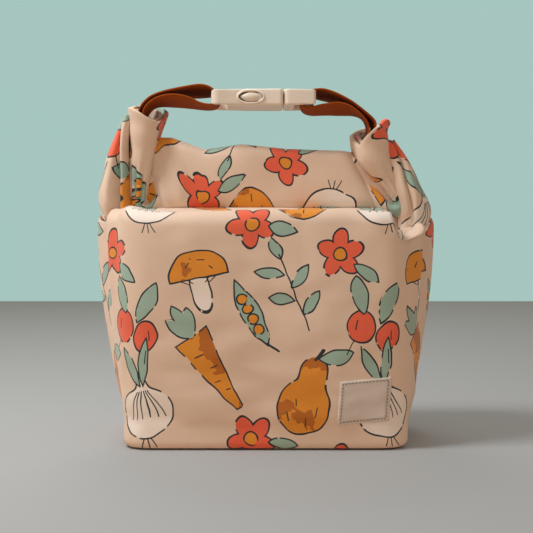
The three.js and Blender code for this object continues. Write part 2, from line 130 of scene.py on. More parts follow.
def fill_inputs(tree, node, inputs):
    """Gives a node its inputs, by name or place: each a value, a socket or a sum of sockets."""
    for slot, value in inputs.items():
        value = getattr(value, "socket", value)
        if isinstance(value, bpy.types.NodeSocket):
            tree.links.new(value, node.inputs[slot])
        else:
            node.inputs[slot].default_value = value


def add_node(tree, kind, inputs=None, **settings):
    node = tree.nodes.new(kind)
    for name, value in settings.items():
        setattr(node, name, value)
    fill_inputs(tree, node, inputs or {})
    return node


def shader_material(name):
    material = bpy.data.materials.new(name)
    material.use_nodes = True
    return material, material.node_tree


def seen_directly(tree):
    """1 where the camera, a mirror or glass looks straight at a surface, 0 for its light on the bag."""
    path = add_node(tree, "ShaderNodeLightPath").outputs
    seen = path["Is Camera Ray"]
    for ray in ("Is Glossy Ray", "Is Transmission Ray"):
        seen = add_node(tree, "ShaderNodeMath", {0: seen, 1: path[ray]}, operation="MAXIMUM").outputs[0]
    return seen


def make_world():
    world = bpy.data.worlds.new("studio")
    scene.world = world
    world.use_nodes = True
    tree = world.node_tree
    tree.nodes.clear()
    even = add_node(tree, "ShaderNodeBackground", {"Color": ROOM_LIGHT, "Strength": ROOM_STRENGTH})
    wall = add_node(tree, "ShaderNodeBackground", {"Color": WALL_SEEN, "Strength": 1.0})
    shades = {0: seen_directly(tree), 1: even.outputs[0], 2: wall.outputs[0]}
    mix = add_node(tree, "ShaderNodeMixShader", shades)
    add_node(tree, "ShaderNodeOutputWorld", {0: mix.outputs[0]})


make_world()


def make_floor():
    mesh = bpy.data.meshes.new("floor")
    corners = [(x * FLOOR_REACH, y * FLOOR_REACH, 0) for x, y in ((-1, -1), (1, -1), (1, 1), (-1, 1))]
    mesh.from_pydata(corners, [], [(0, 1, 2, 3)])
    floor = bpy.data.objects.new("floor", mesh)
    scene.collection.objects.link(floor)
    material, tree = shader_material("pale_floor")
    tones = {0: seen_directly(tree), 6: FLOOR_BOUNCE, 7: FLOOR_SEEN}
    tone = add_node(tree, "ShaderNodeMix", tones, data_type="RGBA")
    inputs = {"Base Color": tone.outputs[2], "Roughness": 0.8}
    fill_inputs(tree, tree.nodes["Principled BSDF"], inputs)
    mesh.materials.append(material)
    print("floor, m:", 2 * FLOOR_REACH, "square")


make_floor()

# %% [markdown]
# Every cloth here starts as a grid of points worked out by a rule: rows follow the length of
# the cloth, columns go across it. The same grid gives the cloth its own UV map in metres, so
# that print and weave follow the cloth and not the room. A grid is turned into a mesh by one
# helper, and a Solidify modifier gives it the thickness of real cloth.

# %% Rules for soft shapes


def ease(t):
    """0 to 1 with soft ends, held at 0 before and at 1 after."""
    t = np.clip(t, 0.0, 1.0)
    return t * t * (3 - 2 * t)


def bump(value, centre, width):
    """A round hill of height 1."""
    return np.exp(-(((value - centre) / width) ** 2))


def ripple(points, size, seed):
    """Smooth noise of about -1 to 1 at each point, for a grid of points in millimetres."""
    shape = points.shape[:-1]
    flat = points.reshape(-1, 3) / size + seed * 17.3
    return np.array([noise.noise(Vector(p)) for p in flat]).reshape(shape)


def smooth_curve(stations, count):
    """Catmull-Rom curve through rows of numbers, so that places and sizes flow together."""
    knots = np.array(stations, float)
    padded = np.vstack([2 * knots[0] - knots[1], knots, 2 * knots[-1] - knots[-2]])
    spans = len(knots) - 1
    place = np.linspace(0, spans, count)
    index = np.minimum(place.astype(int), spans - 1)
    t = (place - index)[:, None]
    a, b, c, d = (padded[index + k] for k in range(4))
    return 0.5 * (2 * b + (c - a) * t + (2 * a - 5 * b + 4 * c - d) * t**2 + (3 * b - a - 3 * c + d) * t**3)


def line_lengths(line):
    """Length run along a line of points, from its first point."""
    return np.concatenate([[0], np.cumsum(np.linalg.norm(np.diff(line, axis=0), axis=1))])


def row_lengths(points):
    """Length run along each row of a grid, from its first column."""
    steps = np.linalg.norm(np.diff(points, axis=1), axis=2)
    return np.hstack([np.zeros((len(points), 1)), np.cumsum(steps, axis=1)])


def grid_normals(points):
    along = np.gradient(points, axis=1)
    up = np.gradient(points, axis=0)
    cross = np.cross(along, up)
    return cross / np.maximum(np.linalg.norm(cross, axis=2, keepdims=True), 1e-9)


print("ease at a quarter:", ease(0.25), "bump at its width:", round(float(bump(1, 0, 1)), 3))

# %% [markdown]
# A cloth mesh is the grid itself: four neighbours make one face. Its thickness comes from a
# Solidify modifier, which pushes a copy of the sheet out along its normals. The modifiers are
# then turned into a plain mesh, because the piece has to bend with the joints afterwards.

# %% Cloth meshes


def grid_faces(rows, cols, closed=False):
    last = cols if closed else cols - 1
    faces = []
    for r in range(rows - 1):
        for c in range(last):
            n = (c + 1) % cols
            faces.append((r * cols + c, r * cols + n, (r + 1) * cols + n, (r + 1) * cols + c))
    return faces


def mesh_object(name, points, edges, faces):
    """A linked object made from points in millimetres."""
    mesh = bpy.data.meshes.new(name)
    mesh.from_pydata([tuple(p) for p in np.reshape(points, (-1, 3)) * MM], edges, faces)
    piece = bpy.data.objects.new(name, mesh)
    scene.collection.objects.link(piece)
    return piece


def cloth_object(name, points, u, v):
    """A mesh of the grid, with the grid's own UV map in metres of cloth."""
    faces = grid_faces(*points.shape[:2])
    piece = mesh_object(name, points, [], faces)
    layer = piece.data.uv_layers.new(name="cloth")
    flat = np.stack([u, v], axis=2).reshape(-1, 2) * MM
    corners = np.array([flat[corner] for face in faces for corner in face])
    layer.data.foreach_set("uv", corners.ravel())
    piece.data.shade_smooth()
    return piece


def give_thickness(piece, thickness, offset=-1.0, soften=0):
    """Solidify, and where asked Subdivision Surface; offset 0 keeps the grid in the middle."""
    solid = piece.modifiers.new("thickness", "SOLIDIFY")
    solid.thickness = thickness * MM
    solid.offset = offset
    solid.use_even_offset = False
    if soften:
        smooth = piece.modifiers.new("smooth", "SUBSURF")
        smooth.levels = soften
        smooth.render_levels = soften


def apply_modifiers(piece):
    """Turns what the modifiers make into the piece's own plain mesh."""
    bpy.context.view_layer.update()
    graph = bpy.context.evaluated_depsgraph_get()
    mesh = bpy.data.meshes.new_from_object(piece.evaluated_get(graph))
    piece.modifiers.clear()
    old = piece.data
    piece.data = mesh
    bpy.data.meshes.remove(old)
    mesh.name = piece.name
    print(piece.name, len(mesh.polygons), "faces")


def cloth_piece(name, points, u, v, material, thickness, offset=-1.0, soften=0):
    """A whole piece of cloth: the grid with its map, its thickness and its material."""
    piece = cloth_object(name, points, u, v)
    give_thickness(piece, thickness, offset, soften)
    apply_modifiers(piece)
    piece.data.materials.append(material)
    return piece


# %% [markdown]
# A print is flat colour inside drawn outlines. It can be drawn in the shader by distance: for
# each point of the cloth, how far is it from the edge of a leaf or a fruit? Less than zero is
# inside and gets the fill, and a narrow band round zero gets the ink. The small class below
# lets such distances be written as plain sums, and every sum becomes a Math node.

# %% Sums as shader nodes


class Sum:
    """A number that varies over a surface, built from Math nodes."""

    def __init__(self, tree, socket):
        self.tree = tree
        self.socket = socket

    def math(self, operation, *others):
        inputs = dict(enumerate((self, *others)))
        return Sum(self.tree, add_node(self.tree, "ShaderNodeMath", inputs, operation=operation).outputs[0])

    def __add__(self, other):
        return self.math("ADD", other)

    def __sub__(self, other):
        return self.math("SUBTRACT", other)

    def __mul__(self, other):
        return self.math("MULTIPLY", other)

    def __truediv__(self, other):
        return self.math("DIVIDE", other)

    def min(self, other):
        return self.math("MINIMUM", other)

    def max(self, other):
        return self.math("MAXIMUM", other)

    def abs(self):
        return self.math("ABSOLUTE")

    def below(self, level):
        return self.math("LESS_THAN", level)

    def above(self, level):
        return self.math("GREATER_THAN", level)

    def wrap(self, half):
        return self.math("WRAP", half, -half)

    def blended_min(self, other, softness):
        return self.math("SMOOTH_MIN", other, softness)

    def clamped(self):
        return Sum(self.tree, add_node(self.tree, "ShaderNodeClamp", {0: self}).outputs[0])


# %% [markdown]
# Every motif of the print is put together from three shapes, an oval, a leaf and a stroke,
# drawn in a turned frame. Each gives the distance to its own edge.

# %% Shapes of the print


def hypot(x, y):
    return (x * x + y * y).math("SQRT")


def turned(x, y, centre, degrees):
    c = math.cos(math.radians(degrees))
    s = math.sin(math.radians(degrees))
    dx = x - centre[0]
    dy = y - centre[1]
    return dx * c + dy * s, dy * c - dx * s


def oval(x, y, centre, radii, degrees=0):
    a, b = turned(x, y, centre, degrees)
    return (hypot(a / radii[0], b / radii[1]) - 1.0) * min(radii)


def leaf(x, y, centre, length, width, degrees):
    """A pointed leaf: the part that two large circles share."""
    a, b = turned(x, y, centre, degrees)
    radius = (length**2 + width**2) / (4 * width)
    return hypot(a, b.abs() + (radius - width / 2)) - radius


def stroke(x, y, start, end, half):
    run = (end[0] - start[0], end[1] - start[1])
    square = run[0] ** 2 + run[1] ** 2
    dx = x - start[0]
    dy = y - start[1]
    share = ((dx * run[0] + dy * run[1]) / square).clamped()
    return hypot(dx - share * run[0], dy - share * run[1]) - half


def colour_mix(tree, factor, first, second):
    return add_node(tree, "ShaderNodeMix", {0: factor, 6: first, 7: second}, data_type="RGBA").outputs[2]


def screen_colour(red, green, blue):
    """A colour as seen on screen, 0 to 255, turned into the linear values that shaders use."""

    def linear(value):
        share = value / 255
        return share / 12.92 if share <= 0.04045 else ((share + 0.055) / 1.055) ** 2.4

    return (linear(red), linear(green), linear(blue), 1.0)


print("mid grey, linear:", round(screen_colour(128, 128, 128)[0], 3))

# %% [markdown]
# The print is a kitchen garden of pears, onions, carrots, radishes and sprigs, drawn with loose
# dark lines. A real fabric repeats its drawing every so often, and so does this one: the UV
# map is wrapped to one repeat, and every motif has its place in it. Shapes of one colour
# share one distance, so that each colour is laid on only once.

# %% Colours and repeat of the print
REPEAT_WIDTH = 168.0
REPEAT_HEIGHT = 148.0
INK_WIDTH = 0.55

CANVAS_GROUND = screen_colour(232, 207, 184)
OCHRE = screen_colour(232, 150, 44)
BROWN = screen_colour(190, 108, 26)
CORAL = screen_colour(240, 104, 72)
SAGE = screen_colour(158, 188, 172)
CHALK = screen_colour(244, 234, 222)
INK = screen_colour(36, 42, 46)
print("one repeat of the print, mm:", REPEAT_WIDTH, "x", REPEAT_HEIGHT)


class Print:
    """Collects the distances of one colour each, in the order in which they are laid on."""

    def __init__(self, x, y):
        self.x = x
        self.y = y
        self.layers = {}

    def at(self, place, degrees):
        x = (self.x - place[0]).wrap(REPEAT_WIDTH / 2)
        y = (self.y - place[1]).wrap(REPEAT_HEIGHT / 2)
        return turned(x, y, (0, 0), degrees)

    def lay(self, colour, distance):
        known = self.layers.get(colour)
        self.layers[colour] = distance if known is None else known.min(distance)

    def mark(self, x, y, half, *strokes):
        """Ink strokes of one half width, each from its start to its end."""
        for start, end in strokes:
            self.lay("ink", stroke(x, y, start, end, half))


# %% [markdown]
# A motif is a handful of shapes in millimetres, drawn round its own middle. Fills go to the
# layer of their colour and short strokes to the ink. Loops place what a plant repeats, such
# as petals, peas and the lines of an onion.

# %% Eight motifs


def draw_pear(sheet, x, y):
    sheet.lay("ochre", oval(x, y, (0, -8), (18, 19)).blended_min(oval(x, y, (1, 15), (9, 12)), 7.0))
    sheet.lay("sage", leaf(x, y, (13, 31), 24, 11, 22))
    sheet.mark(x, y, 0.9, ((0, 25), (3, 34)))
    sheet.mark(x, y, 0.4, ((-11, -14), (-8, -20)), ((-7, -4), (-6, -9)))
    sheet.mark(x, y, 0.4, ((10, -6), (9, -13)), ((3, -16), (4, -22)))


def draw_onion(sheet, x, y):
    sheet.lay("chalk", oval(x, y, (0, 0), (20, 17)).blended_min(oval(x, y, (0, 17), (4, 10)), 8.0))
    sheet.lay("sage", leaf(x, y, (-6, 33), 28, 7, 108))
    sheet.lay("sage", leaf(x, y, (5, 35), 32, 7, 76))
    for offset in (-12, -7, -2, 4, 9, 14):
        sheet.mark(x, y, 0.45, ((offset * 0.3, 15), (offset, -4)))
    for offset in (-5, 0, 5):
        sheet.mark(x, y, 0.4, ((offset * 0.4, -17), (offset, -24)))


def draw_carrot(sheet, x, y):
    taper = (y + 30.0) * 0.17 + 1.0
    sheet.lay("ochre", (x.abs() - taper).max(y.abs() - 28.0) - 1.5)
    for lean, reach in ((-28, 15), (0, 19), (26, 15)):
        angle = math.radians(lean)
        middle = (math.sin(angle) * reach / 1.6, 30 + math.cos(angle) * reach / 1.6)
        sheet.lay("sage", leaf(x, y, middle, reach * 1.3, 8, 90 - lean))
    sheet.mark(x, y, 0.4, ((-6, 16), (0, 15)), ((5, 4), (0, 5)), ((-4, -6), (0, -7)), ((3, -15), (0, -14)))


def draw_radishes(sheet, x, y):
    sheet.lay("coral", oval(x, y, (-9, -6), (9, 11), 12).min(oval(x, y, (10, -10), (8, 10), -14)))
    sheet.lay("sage", leaf(x, y, (-13, 15), 26, 11, 112).min(leaf(x, y, (8, 13), 30, 11, 72)))
    sheet.mark(x, y, 0.45, ((-12, -16), (-17, -26)), ((12, -19), (13, -28)))
    sheet.mark(x, y, 0.4, ((-12, -2), (-12, -8)), ((12, -6), (13, -12)))


def draw_sprig(sheet, x, y):
    sheet.mark(x, y, 0.5, ((0, -30), (2, 26)))
    for height, side in ((-18, 1), (-8, -1), (2, 1), (12, -1)):
        sheet.lay("sage", leaf(x, y, (side * 9, height + 5), 19, 7, 90 - side * 58))
    sheet.lay("sage", leaf(x, y, (2, 31), 16, 7, 88))


def draw_mushroom(sheet, x, y):
    sheet.lay("chalk", oval(x, y, (0, -8), (6.5, 15)))
    cap = oval(x, y, (0, 2), (19, 17)).max(y * -1.0 + 1.5)
    sheet.lay("ochre", cap - 0.8)
    for offset in (-12, -7, 7, 12):
        sheet.mark(x, y, 0.35, ((offset, 0), (offset * 0.6, -3)))
    sheet.mark(x, y, 0.4, ((-8, 9), (-5, 12)), ((2, 13), (6, 12)), ((9, 7), (11, 5)))


def draw_blossom(sheet, x, y):
    for petal in range(5):
        angle = math.radians(90 + 72 * petal)
        centre = (9 * math.cos(angle), 9 * math.sin(angle))
        sheet.lay("coral", oval(x, y, centre, (7.5, 5.2), math.degrees(angle)))
    sheet.lay("top_ochre", oval(x, y, (0, 0), (4, 4)))
    sheet.lay("sage", leaf(x, y, (17, -14), 20, 8, -38))


def draw_pod(sheet, x, y):
    sheet.lay("sage", leaf(x, y, (0, 0), 50, 13, 0))
    sheet.mark(x, y, 0.7, ((24, 0), (32, 4)))
    for offset in (-12, -4, 4, 12):
        sheet.lay("top_ochre", oval(x, y, (offset, -0.5), (3.2, 3.2)))


# %% [markdown]
# Cloth, webbing and plastic differ in what happens between the fibres. A noise gives slubs,
# stains and grain, two sine waves give the over and under of a weave, and a Bump node lets
# both catch the light. All but the plastic's and the thread's follow the cloth's own map.

# %% Helpers for the finishes


def noise_node(tree, vector, scale, detail):
    return add_node(tree, "ShaderNodeTexNoise", {"Vector": vector, "Scale": scale, "Detail": detail})


def noise_sum(tree, vector, scale, detail=2.0):
    return Sum(tree, noise_node(tree, vector, scale, detail).outputs[0])


def split(tree, socket):
    """The first two parts of a vector or colour, as sums."""
    parts = add_node(tree, "ShaderNodeSeparateXYZ", {0: socket}).outputs
    return Sum(tree, parts[0]), Sum(tree, parts[1])


def weave_height(tree, u, v, pitch):
    """Height of a plain weave: over and under threads of one pitch, from the cloth's own map."""
    across = (u * (math.pi / pitch)).math("SINE")
    along = (v * (math.pi / pitch)).math("SINE")
    return (across * along).abs()


def cloth_place(tree):
    """The cloth's own map in millimetres, as two sums, and the raw socket."""
    source = add_node(tree, "ShaderNodeUVMap", uv_map="cloth").outputs[0]
    u, v = split(tree, source)
    return u / MM, v / MM, source


def dress(material, height, strength, distance, inputs):
    """Gives a material its shader's inputs, and a bump of the height that catches the light."""
    tree = material.node_tree
    bumps = {"Strength": strength, "Distance": distance * MM, "Height": height}
    normal = add_node(tree, "ShaderNodeBump", bumps).outputs[0]
    fill_inputs(tree, tree.nodes["Principled BSDF"], {"Normal": normal, **inputs})
    print(material.name, len(tree.nodes), "nodes")
    return material


# %% [markdown]
# Printed canvas is matt, with a faint sheen of loose fibres. The ink of each outline skips
# here and there, as a dry brush does, and the ochre is dappled with brown. A little noise is
# added to the map first, so that no printed edge is perfectly smooth.

# %% Printed canvas
PRINT_WOBBLE = 5.0
CANVAS_WEAVE = 0.55
MOTIFS = (
    (draw_pear, (28, 36), -14),
    (draw_onion, (84, 24), 9),
    (draw_carrot, (133, 52), 34),
    (draw_radishes, (76, 88), -8),
    (draw_sprig, (18, 108), 24),
    (draw_mushroom, (122, 116), 12),
    (draw_blossom, (52, 134), 0),
    (draw_blossom, (158, 6), 30),
    (draw_pod, (158, 92), -62),
)


def make_canvas():
    material, tree = shader_material("printed_canvas")
    u, v, raw = cloth_place(tree)
    wobble_u, wobble_v = split(tree, noise_node(tree, raw, 55.0, 1.0).outputs["Color"])
    sheet = Print(u + (wobble_u - 0.5) * PRINT_WOBBLE, v + (wobble_v - 0.5) * PRINT_WOBBLE)
    for draw, place, degrees in MOTIFS:
        draw(sheet, *sheet.at(place, degrees))

    worn_ochre = colour_mix(tree, noise_sum(tree, raw, 38.0, 3.0).above(0.52), OCHRE, BROWN)
    gap = noise_sum(tree, raw, 120.0, 1.0).below(0.62)
    colour = CANVAS_GROUND
    fills = {"chalk": CHALK, "ochre": worn_ochre, "coral": CORAL, "sage": SAGE, "top_ochre": OCHRE}
    for key, fill in fills.items():
        distance = sheet.layers[key]
        colour = colour_mix(tree, distance.below(0.0), colour, fill)
        line = (distance - 0.3).abs().below(INK_WIDTH) * gap
        colour = colour_mix(tree, line, colour, INK)
    colour = colour_mix(tree, sheet.layers["ink"].below(0.0), colour, INK)

    weave = weave_height(tree, u, v, CANVAS_WEAVE)
    slub = noise_sum(tree, raw, 900.0)
    # The raised threads of the weave are painted lighter and the hollows between them darker: painted light
    # and shade. The slubs vary the tone at random.
    slub_tone_and_weave_shade = (slub - 0.5) * 0.10 + weave * 0.10
    grey = add_node(tree, "ShaderNodeHueSaturation", {"Color": colour, "Value": slub_tone_and_weave_shade + 0.93})
    sheen = {"Sheen Weight": 0.25, "Sheen Roughness": 0.5}
    inputs = {"Base Color": grey.outputs[0], "Roughness": 0.86, **sheen}
    return dress(material, weave + slub * 0.6, 0.35, 0.18, inputs)


CANVAS = make_canvas()

# %% [markdown]
# The lining is a wipe-clean sheet: smoother than canvas, silver grey, with fine crinkles that
# a noise of many octaves gives.

# %% Lining sheet


def make_lining():
    material, tree = shader_material("lining_sheet")
    u, v, raw = cloth_place(tree)
    crinkle = noise_sum(tree, raw, 160.0, 4.0)
    # The colour follows the crinkles: lighter on their tops and darker in their hollows, which is painted
    # shade.
    colour = colour_mix(tree, crinkle, screen_colour(196, 199, 200), screen_colour(220, 222, 222))
    height = crinkle + weave_height(tree, u, v, 1.2) * 0.3
    return dress(material, height, 0.4, 0.4, {"Base Color": colour, "Roughness": 0.42})


LINING = make_lining()

# %% [markdown]
# Webbing is woven in a steep twill. Its ribs run slantwise over the band, so they are one sine
# wave of u and v together, and a finer one along v stands for the single threads.

# %% Twill of the webbing
RIB_PITCH = 1.6
THREAD_PITCH = 0.8


def make_webbing():
    material, tree = shader_material("rust_webbing")
    u, v, raw = cloth_place(tree)
    rib = ((u + v) * (2 * math.pi / RIB_PITCH)).math("SINE")
    thread = (v * (2 * math.pi / THREAD_PITCH)).math("SINE") * 0.35
    fuzz = noise_sum(tree, raw, 700.0, 3.0)
    height = rib * 0.5 + thread + fuzz * 0.5
    # The colour follows the same heights: dark in the twill's grooves and bright on its ribs, which is
    # painted shade and light; the fuzz varies the tone at random.
    tone_and_weave_shade = (height * 0.35 + 0.45).clamped()
    colour = colour_mix(tree, tone_and_weave_shade, screen_colour(92, 36, 3), screen_colour(184, 88, 18))
    inputs = {"Base Color": colour, "Roughness": 0.8, "Specular IOR Level": 0.15}
    return dress(material, height, 0.6, 0.3, inputs)


WEBBING = make_webbing()

# %% [markdown]
# Moulded plastic lets a little light in under its skin, so it gets some subsurface. A cloudy
# tone and a very fine grain keep it from looking like paint.

# %% Ivory plastic


def make_plastic():
    material, tree = shader_material("ivory_plastic")
    place = add_node(tree, "ShaderNodeTexCoord").outputs["Object"]
    cloud = noise_sum(tree, place, 60.0)
    grain = noise_sum(tree, place, 2600.0)
    colour = colour_mix(tree, cloud, screen_colour(230, 217, 201), screen_colour(239, 228, 214))
    inputs = {
        "Base Color": colour, "Roughness": grain * 0.12 + 0.30,
        "Subsurface Weight": 0.12, "Subsurface Radius": (0.004, 0.003, 0.002), "Subsurface Scale": 1.0,
    }
    return dress(material, grain, 0.15, 0.05, inputs)


PLASTIC = make_plastic()

# %% [markdown]
# The patch is coarse cotton, sewn on with a darker twisted thread. Both are matt, and a noise
# far finer than the weave makes them look fibrous.

# %% Label cotton and thread


def make_label_cloth():
    material, tree = shader_material("label_cotton")
    u, v, raw = cloth_place(tree)
    weave = weave_height(tree, u, v, 0.42)
    stain = noise_sum(tree, raw, 90.0, 3.0)
    fibre = noise_sum(tree, raw, 1500.0)
    # The raised threads are painted lighter and the hollows between them darker, as painted shade; the
    # stains and fibres are the cotton's own tone.
    tone_and_weave_shade = (weave * 0.4 + stain * 0.4 + fibre * 0.3).clamped()
    colour = colour_mix(tree, tone_and_weave_shade, screen_colour(198, 186, 174), screen_colour(246, 238, 228))
    return dress(material, weave + fibre, 0.6, 0.2, {"Base Color": colour, "Roughness": 0.9})


LABEL = make_label_cloth()


def make_thread():
    material, tree = shader_material("sewing_thread")
    place = add_node(tree, "ShaderNodeTexCoord").outputs["Object"]
    fibre = noise_sum(tree, place, 3000.0)
    colour = colour_mix(tree, fibre, screen_colour(96, 78, 62), screen_colour(168, 148, 128))
    return dress(material, fibre, 0.5, 0.1, {"Base Color": colour, "Roughness": 0.7})


THREAD = make_thread()

# %% [markdown]
# The body of the bag is sewn from a front and a back panel that meet in a seam up the middle
# of each side. At the bottom it is a box, at the rim it has opened into six sides, because
# the flattened mouth pulls the sides out. The outline at each height is worked out from
# those corners, and a row of outlines makes the cloth. A lofted grid is chosen over a box
# that is subdivided, because its rows and columns are the cloth's own length and width.

# %% Outline of the body
BOTTOM_HALF = 100.0
BOTTOM_DEPTH = 62.5
RIM_DEPTH = 56.5
SIDE_SPREAD = 26.0
RIM_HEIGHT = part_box("front_panel")[1].z / MM - 5.5
BOTTOM_ROUND = 5
LIP_ROUND = 10
WALL_TOP = RIM_HEIGHT - LIP_ROUND
MOUTH_HEIGHT = RIM_HEIGHT + 3.5
COLUMNS = 201
print("rim height, mm:", round(RIM_HEIGHT, 1))


def side_to_side(side, width, depth, rounding, count):
    """The front half of one outline, from the left side seam round the front to the right one."""
    corners = [(-side, 0.0), (-width, -depth), (width, -depth), (side, 0.0)]
    line = [np.array(corners[0])]
    for before, corner, after in zip(corners, corners[1:], corners[2:]):
        before, corner, after = (np.array(p) for p in (before, corner, after))
        back = before - corner
        on = after - corner
        reach = min(rounding, 0.45 * np.linalg.norm(back), 0.45 * np.linalg.norm(on))
        start = corner + back / np.linalg.norm(back) * reach
        end = corner + on / np.linalg.norm(on) * reach
        for t in np.linspace(0, 1, 9):
            line.append((1 - t) ** 2 * start + 2 * t * (1 - t) * corner + t**2 * end)
    line.append(np.array(corners[-1]))
    line = np.array(line)
    run = line_lengths(line)
    place = np.linspace(0, run[-1], count)
    return np.stack([np.interp(place, run, line[:, axis]) for axis in (0, 1)], axis=1)


def body_row(height, shrink, rounding=20.0):
    """One outline of the wall; it spreads sideways and gets shallower on its way up."""
    rise = np.clip(height / WALL_TOP, 0, 1)
    depth = BOTTOM_DEPTH + (RIM_DEPTH - BOTTOM_DEPTH) * rise - shrink
    side = BOTTOM_HALF + SIDE_SPREAD * (1 - (1 - rise) ** 2) - shrink
    plan = side_to_side(side, BOTTOM_HALF - shrink, depth, rounding, COLUMNS)
    return np.column_stack([plan, np.full(COLUMNS, height)])


def mouth_row(inset):
    plan = side_to_side(BOTTOM_HALF + 4 - inset, BOTTOM_HALF - 2, 5.2, 3.0, COLUMNS)
    lift = 2.0 * np.clip((np.abs(plan[:, 0]) - 88) / 16, 0, 1)
    return np.column_stack([plan, MOUTH_HEIGHT - inset + lift])


print("rim outline, mm across:", 2 * (BOTTOM_HALF + SIDE_SPREAD))

# %% [markdown]
# The outlines are stacked in the order in which a finger would follow the cloth: out along
# the floor, round the bottom edge, up the wall, over the fold and in to the mouth. The map is
# measured along the cloth itself, so that the print keeps its size on every slope.

# %% Rows of the body and their cloth map


def body_rows(inset):
    """Rows from the seam under the bottom, up the wall, over the fold and in to the mouth."""
    rows = []
    edge = body_row(inset, inset + BOTTOM_ROUND)
    for share in np.linspace(0.0, 1.0, 8)[:-1]:
        row = edge.copy()
        row[:, 1] *= share
        rows.append(row)
    for turn in np.linspace(0, math.pi / 2, 5):
        sink = BOTTOM_ROUND * (1 - math.sin(turn))
        rows.append(body_row(inset + BOTTOM_ROUND * (1 - math.cos(turn)), inset + sink))
    for height in np.linspace(BOTTOM_ROUND + inset, WALL_TOP, 72)[1:]:
        rows.append(body_row(height, inset))
    for turn in np.linspace(0, math.pi / 2, 9)[1:]:
        top = WALL_TOP + (LIP_ROUND - inset) * math.sin(turn)
        rows.append(body_row(top, inset + LIP_ROUND * (1 - math.cos(turn))))
    fold = rows[-1]
    mouth = mouth_row(inset)
    for share in np.linspace(0, 1, 17)[1:]:
        row = fold * (1 - share) + mouth * share
        row[:, 2] -= 1.5 * math.sin(math.pi * share)
        rows.append(row)
    return np.array(rows)


def cloth_uv(points):
    """u runs out from the middle column, v up from the bottom edge along the middle column."""
    across = row_lengths(points)
    middle = points.shape[1] // 2
    u = across - across[:, middle : middle + 1]
    v = line_lengths(points[:, middle])
    return u, np.repeat((v - BOTTOM_DEPTH)[:, None], points.shape[1], axis=1)


# %% [markdown]
# Soft things are known by how they give way. The contents push the walls out, the side seams
# pull two creases down each side, and the right end of the front fold dips under the ear,
# where the cloth is tucked in. All of it depends on u and v, the place on the cloth in
# millimetres. Sculpting would do it too, but a rule can be read and changed.

# %% Swell, creases and tuck


def side_creases(u, v):
    """Two valleys with a ridge between them down each side, drawn towards the ear."""
    sides = np.zeros_like(u)
    for centre, sign in ((-126, -1), (124, 1)):
        drift = (168 - v) * 0.10 * sign
        sides += 3.0 * bump(u + drift, centre, 7) * ease((v - 70) / 60)
        sides -= 2.4 * bump(u + drift, centre + sign * 14, 7) * ease((v - 60) / 70)
        sides -= 2.0 * bump(u + drift, centre - sign * 13, 8) * ease((v - 90) / 60)
    return sides


def press_tuck(moved, out, u, v, inset):
    """Lets the front fold dip on the right, and lays a ridge and a groove slanting above it."""
    drop = 15.5 - 10.0 * np.clip((u - 94) / 42, 0, 1)
    dip = ease((u - 88 + 2.5 * inset) / 8) * ease((156 - u) / 18)
    dip = dip * ease((v - 138) / 24) * (1 - ease((v - 190) / 26))
    moved[..., 2] -= drop * dip
    moved[..., 1] += 0.3 * drop * dip
    above = ((v - 158) * 34 - (u - 90) * 9) / 35.2
    reach = ease((u - 86) / 9) * ease((140 - u) / 12)
    tuck = 2.4 * bump(above, -7, 5) - 3.2 * bump(above, 4, 4)
    moved += out * (tuck * reach)[..., None]
    # the lining, which has an inset, stays hidden behind the dip
    hidden = 2.4 * inset * ease((u - 66) / 10) * ease((158 - u) / 12) * ease((v - 130) / 14)
    moved[..., 2] -= hidden
    moved[..., 1] += hidden


def press_lip(moved, u, v):
    """A forward kink of the fold beside the tuck, a slight sag and a lift at the left ear."""
    moved[..., 1] -= 1.8 * bump(u, 78, 8) * bump(v, 160, 12)
    sag = 1.6 * np.sin(u / 33 + 0.6) * bump(v, 166, 16)
    lift = 4.5 * bump(u, -104, 17) * ease((v - 140) / 26) * (1 - ease((v - 186) / 22))
    moved[..., 2] += sag + lift


def press_folds(points, u, v, front, inset):
    """Moves the grid the way slack canvas lies: out, in and down, in millimetres."""
    out = grid_normals(points)
    run = row_lengths(points)
    to_seam = np.minimum(run, run[:, -1:] - run)
    wall = ease(v / 22) * ease((182 - v) / 30) * ease(to_seam / 20)
    swell = 4.5 * np.cos(np.clip(u / 105, -1, 1) * math.pi / 2) * np.sin(np.clip(v / 165, 0, 1) * math.pi)
    loose = ripple(points * np.array([1, 1, 0.55]), 62.0, 1 if front else 2) * 3.4
    fine = ripple(points, 21.0, 3 if front else 4) * 0.8
    corners = -1.8 * (bump(u, -96, 9) + bump(u, 96, 9)) * bump(v, 14, 12)
    out_move = (swell * 0.8 + loose + fine + side_creases(u, v) + corners) * wall
    out_move -= 0.8 * bump(to_seam, 0, 1.3)
    moved = points + out * out_move[..., None]
    if front:
        press_tuck(moved, out, u, v, inset)
        press_lip(moved, u, v)
    return moved


def body_half(inset, front):
    """The grid of one panel with its cloth map. The back one is still turned to the front."""
    points = body_rows(inset)
    u, v = cloth_uv(points)
    return press_folds(points, u, v, front, inset), u, v


def turned_round(points):
    return points * np.array([-1, -1, 1])


front_grid, _, cloth_v = body_half(0.0, True)
back_grid = body_half(0.0, False)[0]
print("body grid:", front_grid.shape[:2], "rows and columns")

# %% [markdown]
# Real canvas is cut with a little ease, so it never lies as flat as a drawn outline. Both
# panels are joined into one ring here, the ring is made two hundredths too large, and a
# short cloth simulation lets it settle while its bottom and its mouth are held. The rows
# under the bottom stay out of it, because they meet in one line there, and a simulation
# can't bear edges of no length.

# %% A ring of cloth settles
SLACK_SHARE = 0.02
SLACK_STEPS = 6
SLACK_PRESSURE = 8.0
SLACK_GRAVITY = 0.2


